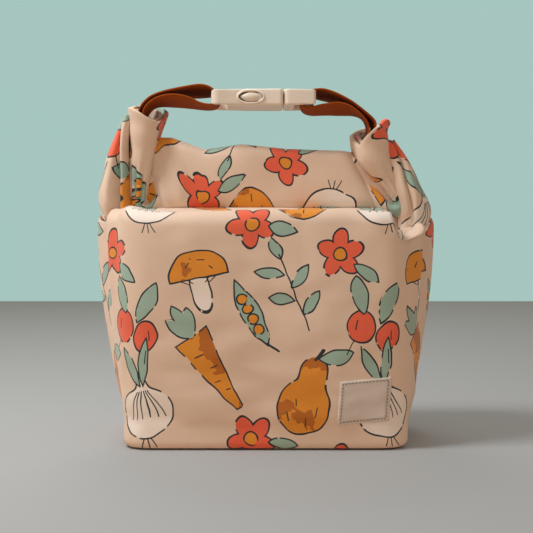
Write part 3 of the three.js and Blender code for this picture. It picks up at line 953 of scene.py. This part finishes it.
def settled_ring(ring, held):
    """Where the points of a closed ring of cloth come to rest, in millimetres."""
    rows, cols = ring.shape[:2]
    piece = mesh_object("settling", ring, [], grid_faces(rows, cols, closed=True))
    mesh = piece.data
    group = piece.vertex_groups.new(name="held")
    for index, weight in enumerate(held.ravel()):
        group.add([index], float(weight), "REPLACE")
    cloth = piece.modifiers.new("cloth", "CLOTH")
    rules = cloth.settings
    rules.quality = 6
    rules.mass = 0.3
    rules.tension_stiffness = 40.0
    rules.compression_stiffness = 40.0
    rules.shear_stiffness = 20.0
    rules.bending_stiffness = 12.0
    rules.air_damping = 3.0
    rules.vertex_group_mass = "held"
    rules.shrink_min = -SLACK_SHARE
    rules.use_pressure = True
    rules.uniform_pressure_force = SLACK_PRESSURE
    rules.effector_weights.gravity = SLACK_GRAVITY
    cloth.collision_settings.use_collision = False
    cloth.point_cache.frame_start = 1
    cloth.point_cache.frame_end = SLACK_STEPS
    for step in range(1, SLACK_STEPS + 1):
        scene.frame_set(step)
    graph = bpy.context.evaluated_depsgraph_get()
    places = np.empty(rows * cols * 3)
    piece.evaluated_get(graph).data.vertices.foreach_get("co", places)
    scene.frame_set(1)
    bpy.data.objects.remove(piece)
    bpy.data.meshes.remove(mesh)
    return places.reshape(rows, cols, 3) / MM


# %% [markdown]
# How far each point moved is added to canvas and lining alike. Only a share of it is kept,
# less the broad swell of each wall, which the drawn outline has already. So the simulation
# adds faint waves and leaves the shape of the bag alone.

# %% Slack of the canvas
SLACK_LIMIT = 1.5
SLACK_KEPT = 0.2
SWELL_PASSES = 60
BOTTOM_ROWS = 12


def smoothed(moves):
    """Each column and row eased into its neighbours; the columns run round in a ring."""
    moves = (np.roll(moves, 1, axis=1) + 2 * moves + np.roll(moves, -1, axis=1)) / 4
    middle = (moves[:-2] + 2 * moves[1:-1] + moves[2:]) / 4
    return np.concatenate([moves[:1], middle, moves[-1:]])


def widened(moves):
    """Moves of every second column filled up to every column."""
    full = np.repeat(moves, 2, axis=1)[:, :-1]
    full[:, 1::2] = (moves[:, :-1] + moves[:, 1:]) / 2
    return full


def slack_moves(front_half, back_half, v):
    held = 1 - ease((v - 4) / 18) * ease((178 - v) / 14)
    front = front_half[:, ::2]
    back = turned_round(back_half)[:, ::2]
    ring = np.concatenate([front, back[:, 1:-1]], axis=1)[BOTTOM_ROWS:]
    held = np.concatenate([held[:, ::2], held[:, ::2][:, 1:-1]], axis=1)[BOTTOM_ROWS:]
    moves = smoothed(settled_ring(ring, held) - ring)
    swell = moves
    for _ in range(SWELL_PASSES):
        swell = smoothed(swell)
    moves = (moves - swell) * SLACK_KEPT
    moves = np.concatenate([np.zeros((BOTTOM_ROWS, *moves.shape[1:])), moves])
    size = np.linalg.norm(moves, axis=2, keepdims=True)
    moves *= SLACK_LIMIT * np.tanh(size / SLACK_LIMIT) / np.maximum(size, 1e-6)
    print("slack moves, mm: mean", round(float(size.mean()), 2), "most", round(float(size.max()), 2))
    last = front.shape[1] - 1
    back_moves = np.concatenate([moves[:, last:], moves[:, :1]], axis=1)
    return widened(moves[:, : last + 1]), turned_round(widened(back_moves))


front_moves, back_moves = slack_moves(front_grid, back_grid, cloth_v)

# %% [markdown]
# Each panel is one sheet of canvas from the seam under the bottom to the mouth. The back one
# is the same grid turned round, and its print is shifted, as if cut from the next length of
# cloth. Its lowest points are held up by one thickness, so that it stands on the floor.

# %% Canvas panels
CANVAS_PLY = 1.0
BACK_PRINT_SHIFT = (61.0, 37.0)


def panel_grid(inset, front, moves, lowest):
    """The grid of one panel in its own place, with no point below the lowest height."""
    points, u, v = body_half(inset, front)
    points = points + moves
    points[..., 2] = np.maximum(points[..., 2], lowest)
    return (points if front else turned_round(points)), u, v


def make_body(name, front, moves, nodes):
    points, u, v = panel_grid(0.0, front, moves, CANVAS_PLY)
    if not front:
        u = u + BACK_PRINT_SHIFT[0]
        v = v + BACK_PRINT_SHIFT[1]
    piece = cloth_piece(name, points, u, v, CANVAS, CANVAS_PLY)
    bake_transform(piece)
    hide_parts(*nodes)
    return piece


front_canvas = make_body("front_canvas", True, front_moves, ["front_panel"])
make_body("back_canvas", False, back_moves, ["back_panel"])

# %% [markdown]
# Inside the canvas lie the batting and the lining. Only the lining can be seen, through the
# mouth once the roll is lifted, so batting and lining are one padded sheet here.

# %% Lining
LINING_INSET = 2.6
LINER_PLY = 1.8


def make_liner(name, front, moves, nodes):
    points, u, v = panel_grid(LINING_INSET, front, moves, LINING_INSET)
    piece = cloth_piece(name, points, u, v, LINING, LINER_PLY)
    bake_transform(piece)
    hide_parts(*nodes)


make_liner("front_liner", True, front_moves, ["front_lining", "front_batting"])
make_liner("back_liner", False, back_moves, ["back_lining", "back_batting"])

# %% [markdown]
# The rolled mouth is a spiral seen from its end: straight runs joined by half turns whose
# radius grows. The same spiral, pulled along the bag, makes the roll. Pulled along a bent
# path and scaled on the way, it makes the ears, pinched at the bottom and open at the top.

# %% The roll
ROLL_PLY = 2.6
ROLL_PITCH = 4.0
ROLL_RADIUS = 9.8
ROLL_TURNS = 1.7
ROLL_END = 5.5 * math.pi
ROLL_PRINT_SHIFT = (37.0, 20.0)
# ends of the roll at its foot, and how far each lies further right at the top
ROLL_LEFT = (-96.0, 12.0)
ROLL_RIGHT = (104.0, -28.0)


def spiral_section(outer, straight, end_angle, turns, per_turn):
    """Points of a spiral with straight runs, from its core to its outer end."""
    count = int(turns * per_turn) + 1
    angles = np.linspace(end_angle - turns * 2 * math.pi, end_angle, count)
    radii = outer - ROLL_PITCH * (end_angle - angles) / (2 * math.pi)
    swing = np.sin(angles)
    centre = straight * np.tanh(swing * 6)
    return np.stack([radii * np.cos(angles), centre + radii * swing], axis=1)


ROLL_LOW, ROLL_HIGH = (corner.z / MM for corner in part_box("front_roll_ply"))
# the uneven top edge of the roll, from left to right
ROLL_TOP_X = [-94, -78, -70, -46, -18, 14, 57, 98]
ROLL_TOP_Z = [221, 221, 221, 212, 216, 212.5, 211, 208]
print("roll, mm:", round(ROLL_LOW, 1), "to", round(ROLL_HIGH, 1))


def make_roll():
    half = (ROLL_HIGH - ROLL_LOW) / 2
    section = spiral_section(ROLL_RADIUS, half - ROLL_RADIUS + 1, ROLL_END, ROLL_TURNS, 60)
    rows = []
    for share in np.linspace(0, 1, 130):
        flat = 1 - 0.62 * (ease((0.16 - share) / 0.16) + ease((share - 0.84) / 0.16))
        y = section[:, 0] * flat
        high = (section[:, 1] + half) / (2 * half)
        left = ROLL_LEFT[0] + ROLL_LEFT[1] * high
        right = ROLL_RIGHT[0] + ROLL_RIGHT[1] * high
        x = left + (right - left) * share
        top = np.interp(x, ROLL_TOP_X, ROLL_TOP_Z)
        z = ROLL_LOW + high * (top - ROLL_LOW)
        rows.append(np.stack([x, y, z], axis=1))
    points = np.array(rows)
    wave = ripple(points * np.array([1, 0.3, 1]), 34.0, 6) * 2.6 + ripple(points, 15.0, 7) * 0.6
    outer = ease((np.arange(points.shape[1]) / points.shape[1] - 0.35) / 0.15)
    front = np.where(points[..., 1] < 0, 1, 0.4)
    # creases that slant across the roll beside each ear
    tuck = points[..., 0] + 0.32 * (points[..., 2] - ROLL_LOW)
    wave += 3.0 * bump(tuck, -72, 4.5) - 6.0 * bump(tuck, -81, 4.5) + 2.0 * bump(tuck, -60, 6)
    wave -= 5.0 * bump(points[..., 0] + 0.6 * points[..., 2], 188.5, 4.5)
    points[..., 1] -= wave * outer * front
    u = points[..., 0] + ROLL_PRINT_SHIFT[0]
    v = row_lengths(points) + ROLL_PRINT_SHIFT[1]
    piece = cloth_piece("roll", points, u, v, CANVAS, ROLL_PLY, offset=0)
    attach(piece, "rolled_top")
    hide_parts("front_roll_ply", "back_roll_ply")


make_roll()

# %% [markdown]
# Each ear is listed by stations: where the sleeve passes, which way its section
# leans, and how wide and deep it is there. The curve through the stations bends the sleeve
# out of the end of the roll, pinches it and opens it into the slanting mouth. The rim is
# then drawn up into lobes, and the pinch gathers into small pleats.

# %% The ears
LEFT_STATIONS = [
    # x, z, lean of the section in degrees, half width, half depth, tilt towards the front
    (-68, 180, 0, 11, 6.0, 0),
    (-80, 173, 15, 9.0, 7.5, 0),
    (-89, 167.5, 45, 7.0, 9.0, 0),
    (-94.5, 170.5, 80, 5.6, 11.0, 0),
    (-94.2, 181, 92, 6.0, 13.5, 0),
    (-93.2, 197, 95, 7.6, 16.0, 3),
    (-91.4, 212, 99, 9.4, 18.5, 8),
    (-89.8, 226, 106, 11.6, 21.0, 14),
    (-89.2, 238.5, 113, 13.8, 22.0, 18),
]
RIGHT_STATIONS = [
    (72, 180, 0, 11, 6.0, 0),
    (84, 173, 15, 9.0, 7.5, 0),
    (94, 167, 45, 7.5, 9.0, 0),
    (99.8, 170.5, 86, 4.4, 10.5, 0),
    (94.9, 181.5, 114, 5.0, 12.0, 0),
    (88.6, 192.5, 119, 8.4, 15.0, 3),
    (83.0, 203, 117, 12.2, 19.0, 8),
    (79.7, 213, 112, 15.2, 21.5, 14),
    (80.0, 222.5, 103, 15.6, 22.5, 18),
]
# lobes of the rim: angle round the section in half turns, rise in millimetres, width in half turns
LEFT_LOBES = [(1.25, 6.5, 0.24), (1.5, 3.0, 0.16), (1.72, 2.8, 0.2), (0.22, 5.0, 0.26)]
RIGHT_LOBES = [(1.23, 19.5, 0.3), (1.58, 6.0, 0.2), (1.86, -3.0, 0.08), (1.98, 1.0, 0.1), (0.45, 2.0, 0.3)]
EAR_STRAIGHT = 0.43
EAR_TURNS = 2.0
EAR_END = 4.74 * math.pi
EAR_PLY = 3.0
EAR_PRINT_SHIFT = (140.0, 55.0)


def rim_rise(lobes, turn):
    """How far the rim is drawn up at each angle round the section."""
    rise = np.zeros_like(turn)
    for centre, height, spread in lobes:
        away = np.minimum(np.abs(turn - centre), 2 - np.abs(turn - centre))
        rise += height * np.exp(-((away / spread) ** 2))
    return rise


print("ear stations:", len(LEFT_STATIONS), "left,", len(RIGHT_STATIONS), "right")

# %% [markdown]
# The sleeve is swept along the curve: its spiral section is set across the curve, scaled and
# tilted there, gathered into pleats at the pinch and drawn up at the rim. A small ripple at
# the end takes the stiffness out of it.

# %% Ear sleeves


def make_ear(name, stations, lobes, side, nodes):
    angles = np.linspace(EAR_END - EAR_TURNS * 2 * math.pi, EAR_END, 151)
    inward = (EAR_END - angles) / (2 * math.pi)
    shrink = 1.0 - 0.27 * inward
    across = shrink * np.cos(angles)
    deep = np.tanh(np.sin(angles) * 5) * EAR_STRAIGHT * (1 - 0.15 * inward)
    deep = deep + shrink * (1 - EAR_STRAIGHT) * np.sin(angles)
    path = smooth_curve(stations, 110)
    share = np.linspace(0, 1, len(path))
    rim = rim_rise(lobes, (angles / math.pi) % 2)
    rows = []
    for place, (x, z, lean, width, depth, tilt) in zip(share, path):
        angle = math.radians(lean)
        slope = math.radians(tilt)
        wide = np.array([-side * math.sin(angle), 0, math.cos(angle)])
        up = np.array([side * math.cos(angle), 0, math.sin(angle)])
        back = np.array([0, math.cos(slope), 0]) + up * math.sin(slope)
        pleat = 1 + 0.10 * np.cos(9 * angles) * bump(place, 0.5, 0.12)
        lip = 1 + 0.07 * ease((place - 0.88) / 0.12)
        rise = rim * ease((place - 0.55) / 0.45) * (1 - 0.4 * inward)
        row = np.array([x, 0, z]) + (across * pleat * lip * width)[:, None] * wide
        rows.append(row + (deep * pleat * lip * depth)[:, None] * back + rise[:, None] * up)
    points = np.array(rows)
    points += grid_normals(points) * (ripple(points, 15.0, 9 + side) * 1.1)[..., None]
    run = row_lengths(points)
    u = run - run[:, -1:] + EAR_PRINT_SHIFT[0] * side
    v = np.repeat(line_lengths(path[:, :2])[:, None], points.shape[1], axis=1) + EAR_PRINT_SHIFT[1]
    piece = cloth_piece(name, points, u, v, CANVAS, EAR_PLY, offset=0, soften=1)
    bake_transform(piece)
    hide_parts(*nodes)


make_ear("left_ear_sleeve", LEFT_STATIONS, LEFT_LOBES, -1,
         ["left_ear_front_ply", "left_ear_back_ply"])
make_ear("right_ear_sleeve", RIGHT_STATIONS, RIGHT_LOBES, 1,
         ["right_ear_front_ply", "right_ear_back_ply"])

# %% [markdown]
# Outside each ear the side of the bag is drawn up with it. This cloth comes out of the top
# of the bag, wraps round the outside of the ear and narrows upwards. Seen from above it is
# gathered: a narrow fold beside the ear, a valley, and the broad fold of the side.

# %% Side cloth
SIDE_PLY = 2.2
SIDE_COLUMNS = 97
SIDE_PRINT_SHIFT = (90.0, 15.0)
LEFT_FOLD = [
    # height, then out and back of the ear edge, narrow fold, valley, shoulder, and out of the spine
    (154, 96, 7, 102.0, 13, 104.0, 9, 113, 14, 118.5),
    (163, 98, 7, 103.5, 14, 105.5, 9.5, 115, 15.5, 121.0),
    (172, 99.5, 7.5, 104.5, 14.5, 106.3, 9.5, 116.5, 16.5, 123.0),
    (184, 100.5, 8, 105.0, 15, 106.6, 9.0, 116.5, 16, 122.5),
    (198, 101, 9, 105.0, 16, 106.3, 9.0, 114.5, 14.5, 119.5),
    (212, 101, 10, 104.6, 16, 105.8, 9.0, 111.0, 12, 115.5),
    (226, 100, 10, 103.8, 15, 104.8, 8.5, 107.0, 9.5, 109.3),
    (237, 98.5, 9, 102.4, 12, 102.9, 8, 103.5, 6.5, 104.3),
]
RIGHT_FOLD = [
    (152, 98, 5, 102.0, 7, 106.0, 6, 112.0, 8, 118.5),
    (160, 98, 6, 103.0, 9, 106.5, 8, 113.0, 11, 121.6),
    (168, 97, 7, 103.5, 12.5, 107.0, 10.5, 112.0, 14.5, 121.8),
    (178, 95, 8, 102.0, 15, 105.0, 11.5, 110.0, 16.5, 118.3),
    (189, 92, 8, 99.5, 15, 102.5, 11, 107.0, 15.5, 112.8),
    (200, 88.5, 8, 96.5, 14, 99.0, 10, 103.0, 13.5, 106.5),
    (210, 85.5, 8, 93.5, 12.5, 95.5, 9, 98.5, 10.5, 100.5),
    (218.5, 84, 7, 91.0, 10, 92.3, 8, 93.6, 8, 94.6),
]


def across_fold(row, count):
    """One gathered section from the ear edge in front round the spine to the ear edge behind."""
    height, edge_x, edge_y, fold_x, fold_y, valley_x, valley_y, shoulder_x, shoulder_y, spine_x = row
    half = [(edge_x, -edge_y), (fold_x, -fold_y), (valley_x, -valley_y), (shoulder_x, -shoulder_y)]
    rear = [(x, -y) for x, y in reversed(half)]
    plan = smooth_curve(half + [(spine_x, 0)] + rear, count)
    return np.column_stack([plan, np.full(count, height)])


def make_side_cloth(name, stations, side, node):
    path = smooth_curve(stations, 70)
    points = np.array([across_fold(row, SIDE_COLUMNS) for row in path])
    points[..., 0] += ripple(points, 16.0, 12 + side) * 0.9
    points[..., 1] += ripple(points, 16.0, 18 + side) * 0.9
    points[..., 0] *= side
    run = row_lengths(points)
    middle = SIDE_COLUMNS // 2
    u = (run - run[:, middle : middle + 1]) + SIDE_PRINT_SHIFT[0] * side
    v = np.repeat(path[:, :1], SIDE_COLUMNS, axis=1) + SIDE_PRINT_SHIFT[1]
    piece = cloth_piece(name, points, u, v, CANVAS, SIDE_PLY, offset=0, soften=1)
    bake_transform(piece)
    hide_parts(node)


make_side_cloth("left_side_cloth", LEFT_FOLD, -1, "left_side_fold")
make_side_cloth("right_side_cloth", RIGHT_FOLD, 1, "right_side_fold")

# %% [markdown]
# Webbing is a flat woven band with its own stiffness: it keeps its width, bends only across
# its face, and turns round the buckle's bar. Its route is a list of points in the plane of
# the handle, and a rectangle with soft edges is carried along it.

# %% Webbing
BAND_THICKNESS = 1.4
BAND_HALF = 15
# the band's section as shares of its half width and its thickness; the edges are rounded off
HALF_SECTION = [(-1, -0.3), (-0.97, -0.5), (-0.5, -0.5), (0, -0.5), (0.5, -0.5), (0.97, -0.5), (1, -0.3)]
SECTION = HALF_SECTION + [(-across, -up) for across, up in HALF_SECTION]
SECTION = np.array(SECTION + SECTION[:1])


def close_band(mesh):
    """Welds the section's seam, closes both ends and turns every face outwards."""
    shaper = bmesh.new()
    shaper.from_mesh(mesh)
    bmesh.ops.remove_doubles(shaper, verts=shaper.verts, dist=1e-6)
    bmesh.ops.holes_fill(shaper, edges=[e for e in shaper.edges if e.is_boundary])
    bmesh.ops.recalc_face_normals(shaper, faces=shaper.faces)
    shaper.to_mesh(mesh)
    shaper.free()


def make_band(name, route, nodes):
    """A band along a route. Its rows: x, z, half width and the band's lean in degrees."""
    path = smooth_curve(route, 150)
    flat = path[:, :2]
    along = np.gradient(flat, axis=0)
    along /= np.linalg.norm(along, axis=1, keepdims=True)
    normal = np.stack([-along[:, 1], along[:, 0]], axis=1)
    rows = []
    for (x, z, half, lean), n in zip(path, normal):
        y = SECTION[:, 0] * half
        rise = SECTION[:, 1] * BAND_THICKNESS + y * math.tan(math.radians(lean))
        rows.append(np.stack([x + n[0] * rise, y, z + n[1] * rise], axis=1))
    points = np.array(rows)
    u = np.repeat(line_lengths(flat)[:, None], points.shape[1], axis=1)
    v = np.repeat((SECTION[:, 0] * BAND_HALF)[None, :], points.shape[0], axis=0)
    piece = cloth_object(name, points, u, v)
    close_band(piece.data)
    print(name, len(piece.data.polygons), "faces")
    piece.data.materials.append(WEBBING)
    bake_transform(piece)
    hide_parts(*nodes)


# %% [markdown]
# Each loop starts in its ear, runs up to the buckle, turns round the buckle's bar and comes
# back to the ear. Its points are listed one by one. The lean turns the band a little about its
# own length, so that its underside or its face shows from the front.

# %% Routes of the webbing
LEFT_ROUTE = [
    (-95.0, 212, 9.5, 0), (-94.8, 224, 10.0, 0), (-94.0, 234, 10.5, -2), (-91.2, 242.0, 11.3, -5),
    (-84.5, 248.2, 12.8, -7), (-76, 251.6, 14, -7), (-67, 253.4, 15, -7.5), (-58, 254.7, 15, -9),
    (-49, 255.5, 15, -11), (-42.5, 255.2, 15, -8), (-37.6, 253.4, 15, -2), (-34.8, 249.0, 15, 0),
    (-37.2, 244.8, 15, 0), (-42, 243.8, 15, 1), (-48.5, 244.6, 15, 3), (-55.5, 246.7, 15, 8),
    (-63, 248.1, 15, 10.5), (-70, 248.5, 14.6, 11), (-77.5, 247.9, 13.8, 8.5), (-84.0, 245.6, 12.6, 5),
    (-88.6, 240.8, 11.3, 4), (-91.0, 233.5, 10.5, 0), (-92.2, 224, 10.0, 0), (-92.6, 212, 9.5, 0),
]
RIGHT_ROUTE = [
    (82.5, 199, 9.5, 0), (79.5, 208, 9.5, 0), (77.6, 216, 10.0, 0), (78.3, 223, 10.3, 0),
    (80.0, 228.5, 11.0, 3), (78.6, 232.4, 12.0, 5), (72.5, 237.8, 13.0, 5), (62, 245.0, 14.6, 6),
    (51, 250.4, 15, 7), (42, 253.0, 15, 8), (35, 253.6, 15, 4), (28.6, 252.0, 15, 0),
    (26.0, 247.2, 15, 0), (28.4, 241.9, 15, -1), (34, 240.9, 15, -5), (41, 241.7, 15, -8),
    (47, 242.2, 15, -9.5), (53.5, 242.4, 15, -11), (60.5, 241.4, 14.6, -8), (66.8, 239.2, 14, -1),
    (71.8, 236.0, 12.8, 3), (75.0, 231.0, 11.6, 2), (75.7, 225, 10.6, 0), (75.4, 217, 10.0, 0),
    (77.4, 208, 9.5, 0), (80.6, 199, 9.5, 0),
]
make_band("left_webbing", LEFT_ROUTE,
          ["left_strap_tail", "left_strap_loop"])
make_band("right_webbing", RIGHT_ROUTE,
          ["right_strap_tail", "right_strap_loop"])

# %% [markdown]
# A buckle is two mouldings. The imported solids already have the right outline, so each is
# copied, its surface is rebuilt as a fine even skin, and the skin is smoothed a little. That
# leaves every edge and every inner corner rounded, as a mould does. The raised rim round the
# spring's window is a ring laid on the moulding first, so that the skin grows over both.

# %% Window rims
# middle of the oval rim along and up, and its half length and half height
RIM_PLACE = (-10.85, 249.0)
RIM_HALF = (9.5, 4.7)
RIM_RADIUS = 0.85
RIM_STEPS = 72
RIM_SIDES = 8


def add_window_rims(mesh, middle, reach):
    """Lays an oval ring on the front and on the back of the moulding, following its surface."""
    shaper = bmesh.new()
    shaper.from_mesh(mesh)
    faces = BVHTree.FromBMesh(shaper)
    for side in (-1, 1):
        rings = []
        for step in range(RIM_STEPS):
            angle = 2 * math.pi * step / RIM_STEPS
            out = Vector((math.cos(angle), 0, math.sin(angle)))
            x = RIM_PLACE[0] + RIM_HALF[0] * out.x
            z = RIM_PLACE[1] + RIM_HALF[1] * out.z
            face_y = faces.find_nearest(Vector((x * MM, middle + side * reach, z * MM)))[0].y
            hit = Vector((x * MM, face_y, z * MM))
            ring = []
            for turn in np.linspace(0, 2 * math.pi, RIM_SIDES + 1)[:-1]:
                offset = out * math.cos(turn) + Vector((0, side * math.sin(turn), 0))
                ring.append(shaper.verts.new(hit + offset * RIM_RADIUS * MM))
            rings.append(ring)
        for ring, following in zip(rings, rings[1:] + rings[:1]):
            for k in range(RIM_SIDES):
                n = (k + 1) % RIM_SIDES
                shaper.faces.new((ring[k], following[k], following[n], ring[n]))
    bmesh.ops.recalc_face_normals(shaper, faces=shaper.faces)
    shaper.to_mesh(mesh)
    shaper.free()


print("window rim, mm:", 2 * RIM_HALF[0], "x", 2 * RIM_HALF[1])

# %% [markdown]
# A finger presses the spring arms through the windows, on a pad that is rounded for it. The
# pad is a stretched ball laid on the arm, narrowed towards its left end like a drop.

# %% Buckle
MOULD_VOXEL = 0.3
# the pad at the end of each spring arm: its middle, and its half length, depth and half height
PAD_PLACE = (-10.9, 17.5, 249.0)
PAD_HALF = (8.0, 2.6, 3.6)


def add_pad(mesh, side):
    """Lays a drop-shaped pad on the outside of a spring arm; its point is on the left."""
    shaper = bmesh.new()
    shaper.from_mesh(mesh)
    pad = bmesh.ops.create_uvsphere(shaper, u_segments=40, v_segments=20, radius=1.0)["verts"]
    for vert in pad:
        x, y, z = vert.co
        narrow = 1 - 0.4 * max(-x, 0.0) ** 1.6
        along = PAD_PLACE[0] + PAD_HALF[0] * x
        out = side * PAD_PLACE[1] + PAD_HALF[1] * y
        vert.co = Vector((along, out, PAD_PLACE[2] + PAD_HALF[2] * z * narrow)) * MM
    shaper.to_mesh(mesh)
    shaper.free()


def make_moulding(node, body):
    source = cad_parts[node]
    mesh = source.data.copy()
    mesh.name = f"{node}_moulding"
    mesh.materials.clear()
    if node == "buckle_socket":
        low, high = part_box(node)
        add_window_rims(mesh, (low.y + high.y) / 2, (high.y - low.y) / 2)
    if node.endswith("prong"):
        add_pad(mesh, -1 if node.startswith("front") else 1)
    piece = bpy.data.objects.new(mesh.name, mesh)
    scene.collection.objects.link(piece)
    skin = piece.modifiers.new("skin", "REMESH")
    skin.mode = "VOXEL"
    skin.voxel_size = MOULD_VOXEL * MM
    soft = piece.modifiers.new("soft edges", "SMOOTH")
    soft.factor = 0.6
    soft.iterations = 2
    apply_modifiers(piece)
    piece.data.shade_smooth()
    piece.data.materials.clear()
    piece.data.materials.append(PLASTIC)
    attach(piece, body)
    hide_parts(node)


make_moulding("buckle_socket", "left_handle")
make_moulding("buckle_plug", "right_handle")
make_moulding("front_prong", "front_prong")
make_moulding("rear_prong", "rear_prong")

# %% [markdown]
# The label is a small cotton patch sewn flat to the front, a little askew. To lie on the
# swollen canvas it is laid out point by point: a ray from the front finds the cloth behind
# each point. The patch puffs up inside its seam and is pulled down along it.

# %% Label patch
LABEL_SIZE = (36.5, 30.5)
LABEL_PLACE = (68.2, 34.2)
LABEL_TILT = 4.5
LABEL_SKEW = 4.0
LABEL_PLY = 0.5
STITCH_EDGE = 0.065
canvas_tree = BVHTree.FromObject(front_canvas, bpy.context.evaluated_depsgraph_get())


def front_face(x, z):
    """The y of the front canvas at a place, in millimetres; less is further forward."""
    hit = canvas_tree.ray_cast(Vector((x * MM, -0.3, z * MM)), Vector((0, 1, 0)))
    return hit[0].y / MM


def on_label(across, up):
    tilt = math.radians(LABEL_TILT)
    skew = math.radians(LABEL_SKEW)
    x = LABEL_PLACE[0] + across * math.cos(tilt) + up * math.sin(skew)
    z = LABEL_PLACE[1] + across * math.sin(tilt) + up * math.cos(skew)
    return x, z


def label_point(across, up):
    """A point of the label's face; across and up run from -0.5 to 0.5 of its size."""
    x, z = on_label(across * LABEL_SIZE[0], up * LABEL_SIZE[1])
    edge = min(0.5 - abs(across), 0.5 - abs(up))
    pillow = 0.2 + 0.75 * float(ease(edge / 0.05)) - 0.55 * math.exp(-(((edge - STITCH_EDGE) / 0.02) ** 2))
    return x, front_face(x, z) - pillow, z


def make_label():
    steps = 61
    shares = np.linspace(-0.5, 0.5, steps)
    points = np.array([[label_point(across, up) for across in shares] for up in shares])
    grid_u, grid_v = np.meshgrid(np.linspace(0, LABEL_SIZE[0], steps), np.linspace(0, LABEL_SIZE[1], steps))
    piece = cloth_object("label", points, grid_u, grid_v)
    give_thickness(piece, LABEL_PLY, offset=1)
    piece.data.flip_normals()
    apply_modifiers(piece)
    piece.data.materials.append(LABEL)
    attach(piece, "bag")
    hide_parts("label_patch")


make_label()

# %% [markdown]
# Stitches are a short thread, in and out, again and again. Geometry Nodes lay them: the border
# line is cut into equal steps, a stretched bead is put at each step along the line, and all of
# them are made real and given the thread material. Pitch, length and thickness are inputs.

# %% Stitches
STITCH_PITCH = 2.4
STITCH_HALF = 0.36 * STITCH_PITCH
THREAD_RADIUS = 0.34


def stitch_tree():
    tree = bpy.data.node_groups.new("stitches", "GeometryNodeTree")
    face = tree.interface
    face.new_socket("Line", in_out="INPUT", socket_type="NodeSocketGeometry")
    for name in ("Pitch", "Half length", "Thread radius"):
        face.new_socket(name, in_out="INPUT", socket_type="NodeSocketFloat")
    face.new_socket("Stitches", in_out="OUTPUT", socket_type="NodeSocketGeometry")
    given = add_node(tree, "NodeGroupInput").outputs
    curve = add_node(tree, "GeometryNodeMeshToCurve", {0: given["Line"]})
    cuts = {"Curve": curve.outputs[0], "Length": given["Pitch"]}
    steps = add_node(tree, "GeometryNodeResampleCurve", cuts, mode="LENGTH")
    bead = add_node(tree, "GeometryNodeMeshUVSphere", {"Segments": 8, "Rings": 6, "Radius": 1.0})
    radius = given["Thread radius"]
    size = add_node(tree, "ShaderNodeCombineXYZ", {"X": radius, "Y": radius, "Z": given["Half length"]})
    tangent = add_node(tree, "GeometryNodeInputTangent")
    aim = add_node(tree, "FunctionNodeAlignRotationToVector", {"Vector": tangent.outputs[0]}, axis="Z")
    beads = {
        "Points": steps.outputs[0], "Instance": bead.outputs["Mesh"],
        "Rotation": aim.outputs[0], "Scale": size.outputs[0],
    }
    laid = add_node(tree, "GeometryNodeInstanceOnPoints", beads)
    real = add_node(tree, "GeometryNodeRealizeInstances", {0: laid.outputs[0]})
    thread = add_node(tree, "GeometryNodeSetMaterial", {"Geometry": real.outputs[0], "Material": THREAD})
    add_node(tree, "NodeGroupOutput", {0: thread.outputs[0]})
    return tree


STITCHES = stitch_tree()


def sew(name, line, body):
    """Stitches along a closed line of points in millimetres, as one plain mesh."""
    count = len(line)
    piece = mesh_object(name, np.array(line), [(k, (k + 1) % count) for k in range(count)], [])
    nodes = piece.modifiers.new("stitches", "NODES")
    nodes.node_group = STITCHES
    sizes = {"Pitch": STITCH_PITCH, "Half length": STITCH_HALF, "Thread radius": THREAD_RADIUS}
    for item in STITCHES.interface.items_tree:
        if item.name in sizes:
            nodes[item.identifier] = sizes[item.name] * MM
    apply_modifiers(piece)
    piece.data.shade_smooth()
    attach(piece, body)


def label_border():
    """A closed line just above the patch, one stitch edge in from its border."""
    far = 0.5 - STITCH_EDGE
    corners = [(-far, -far), (far, -far), (far, far), (-far, far)]
    line = []
    for (a, b), (c, d) in zip(corners, corners[1:] + corners[:1]):
        for t in np.linspace(0, 1, 30)[:-1]:
            x, y, z = label_point(a + (c - a) * t, b + (d - b) * t)
            line.append((x, y - 0.6, z))
    return line


sew("label_stitches", label_border(), "bag")
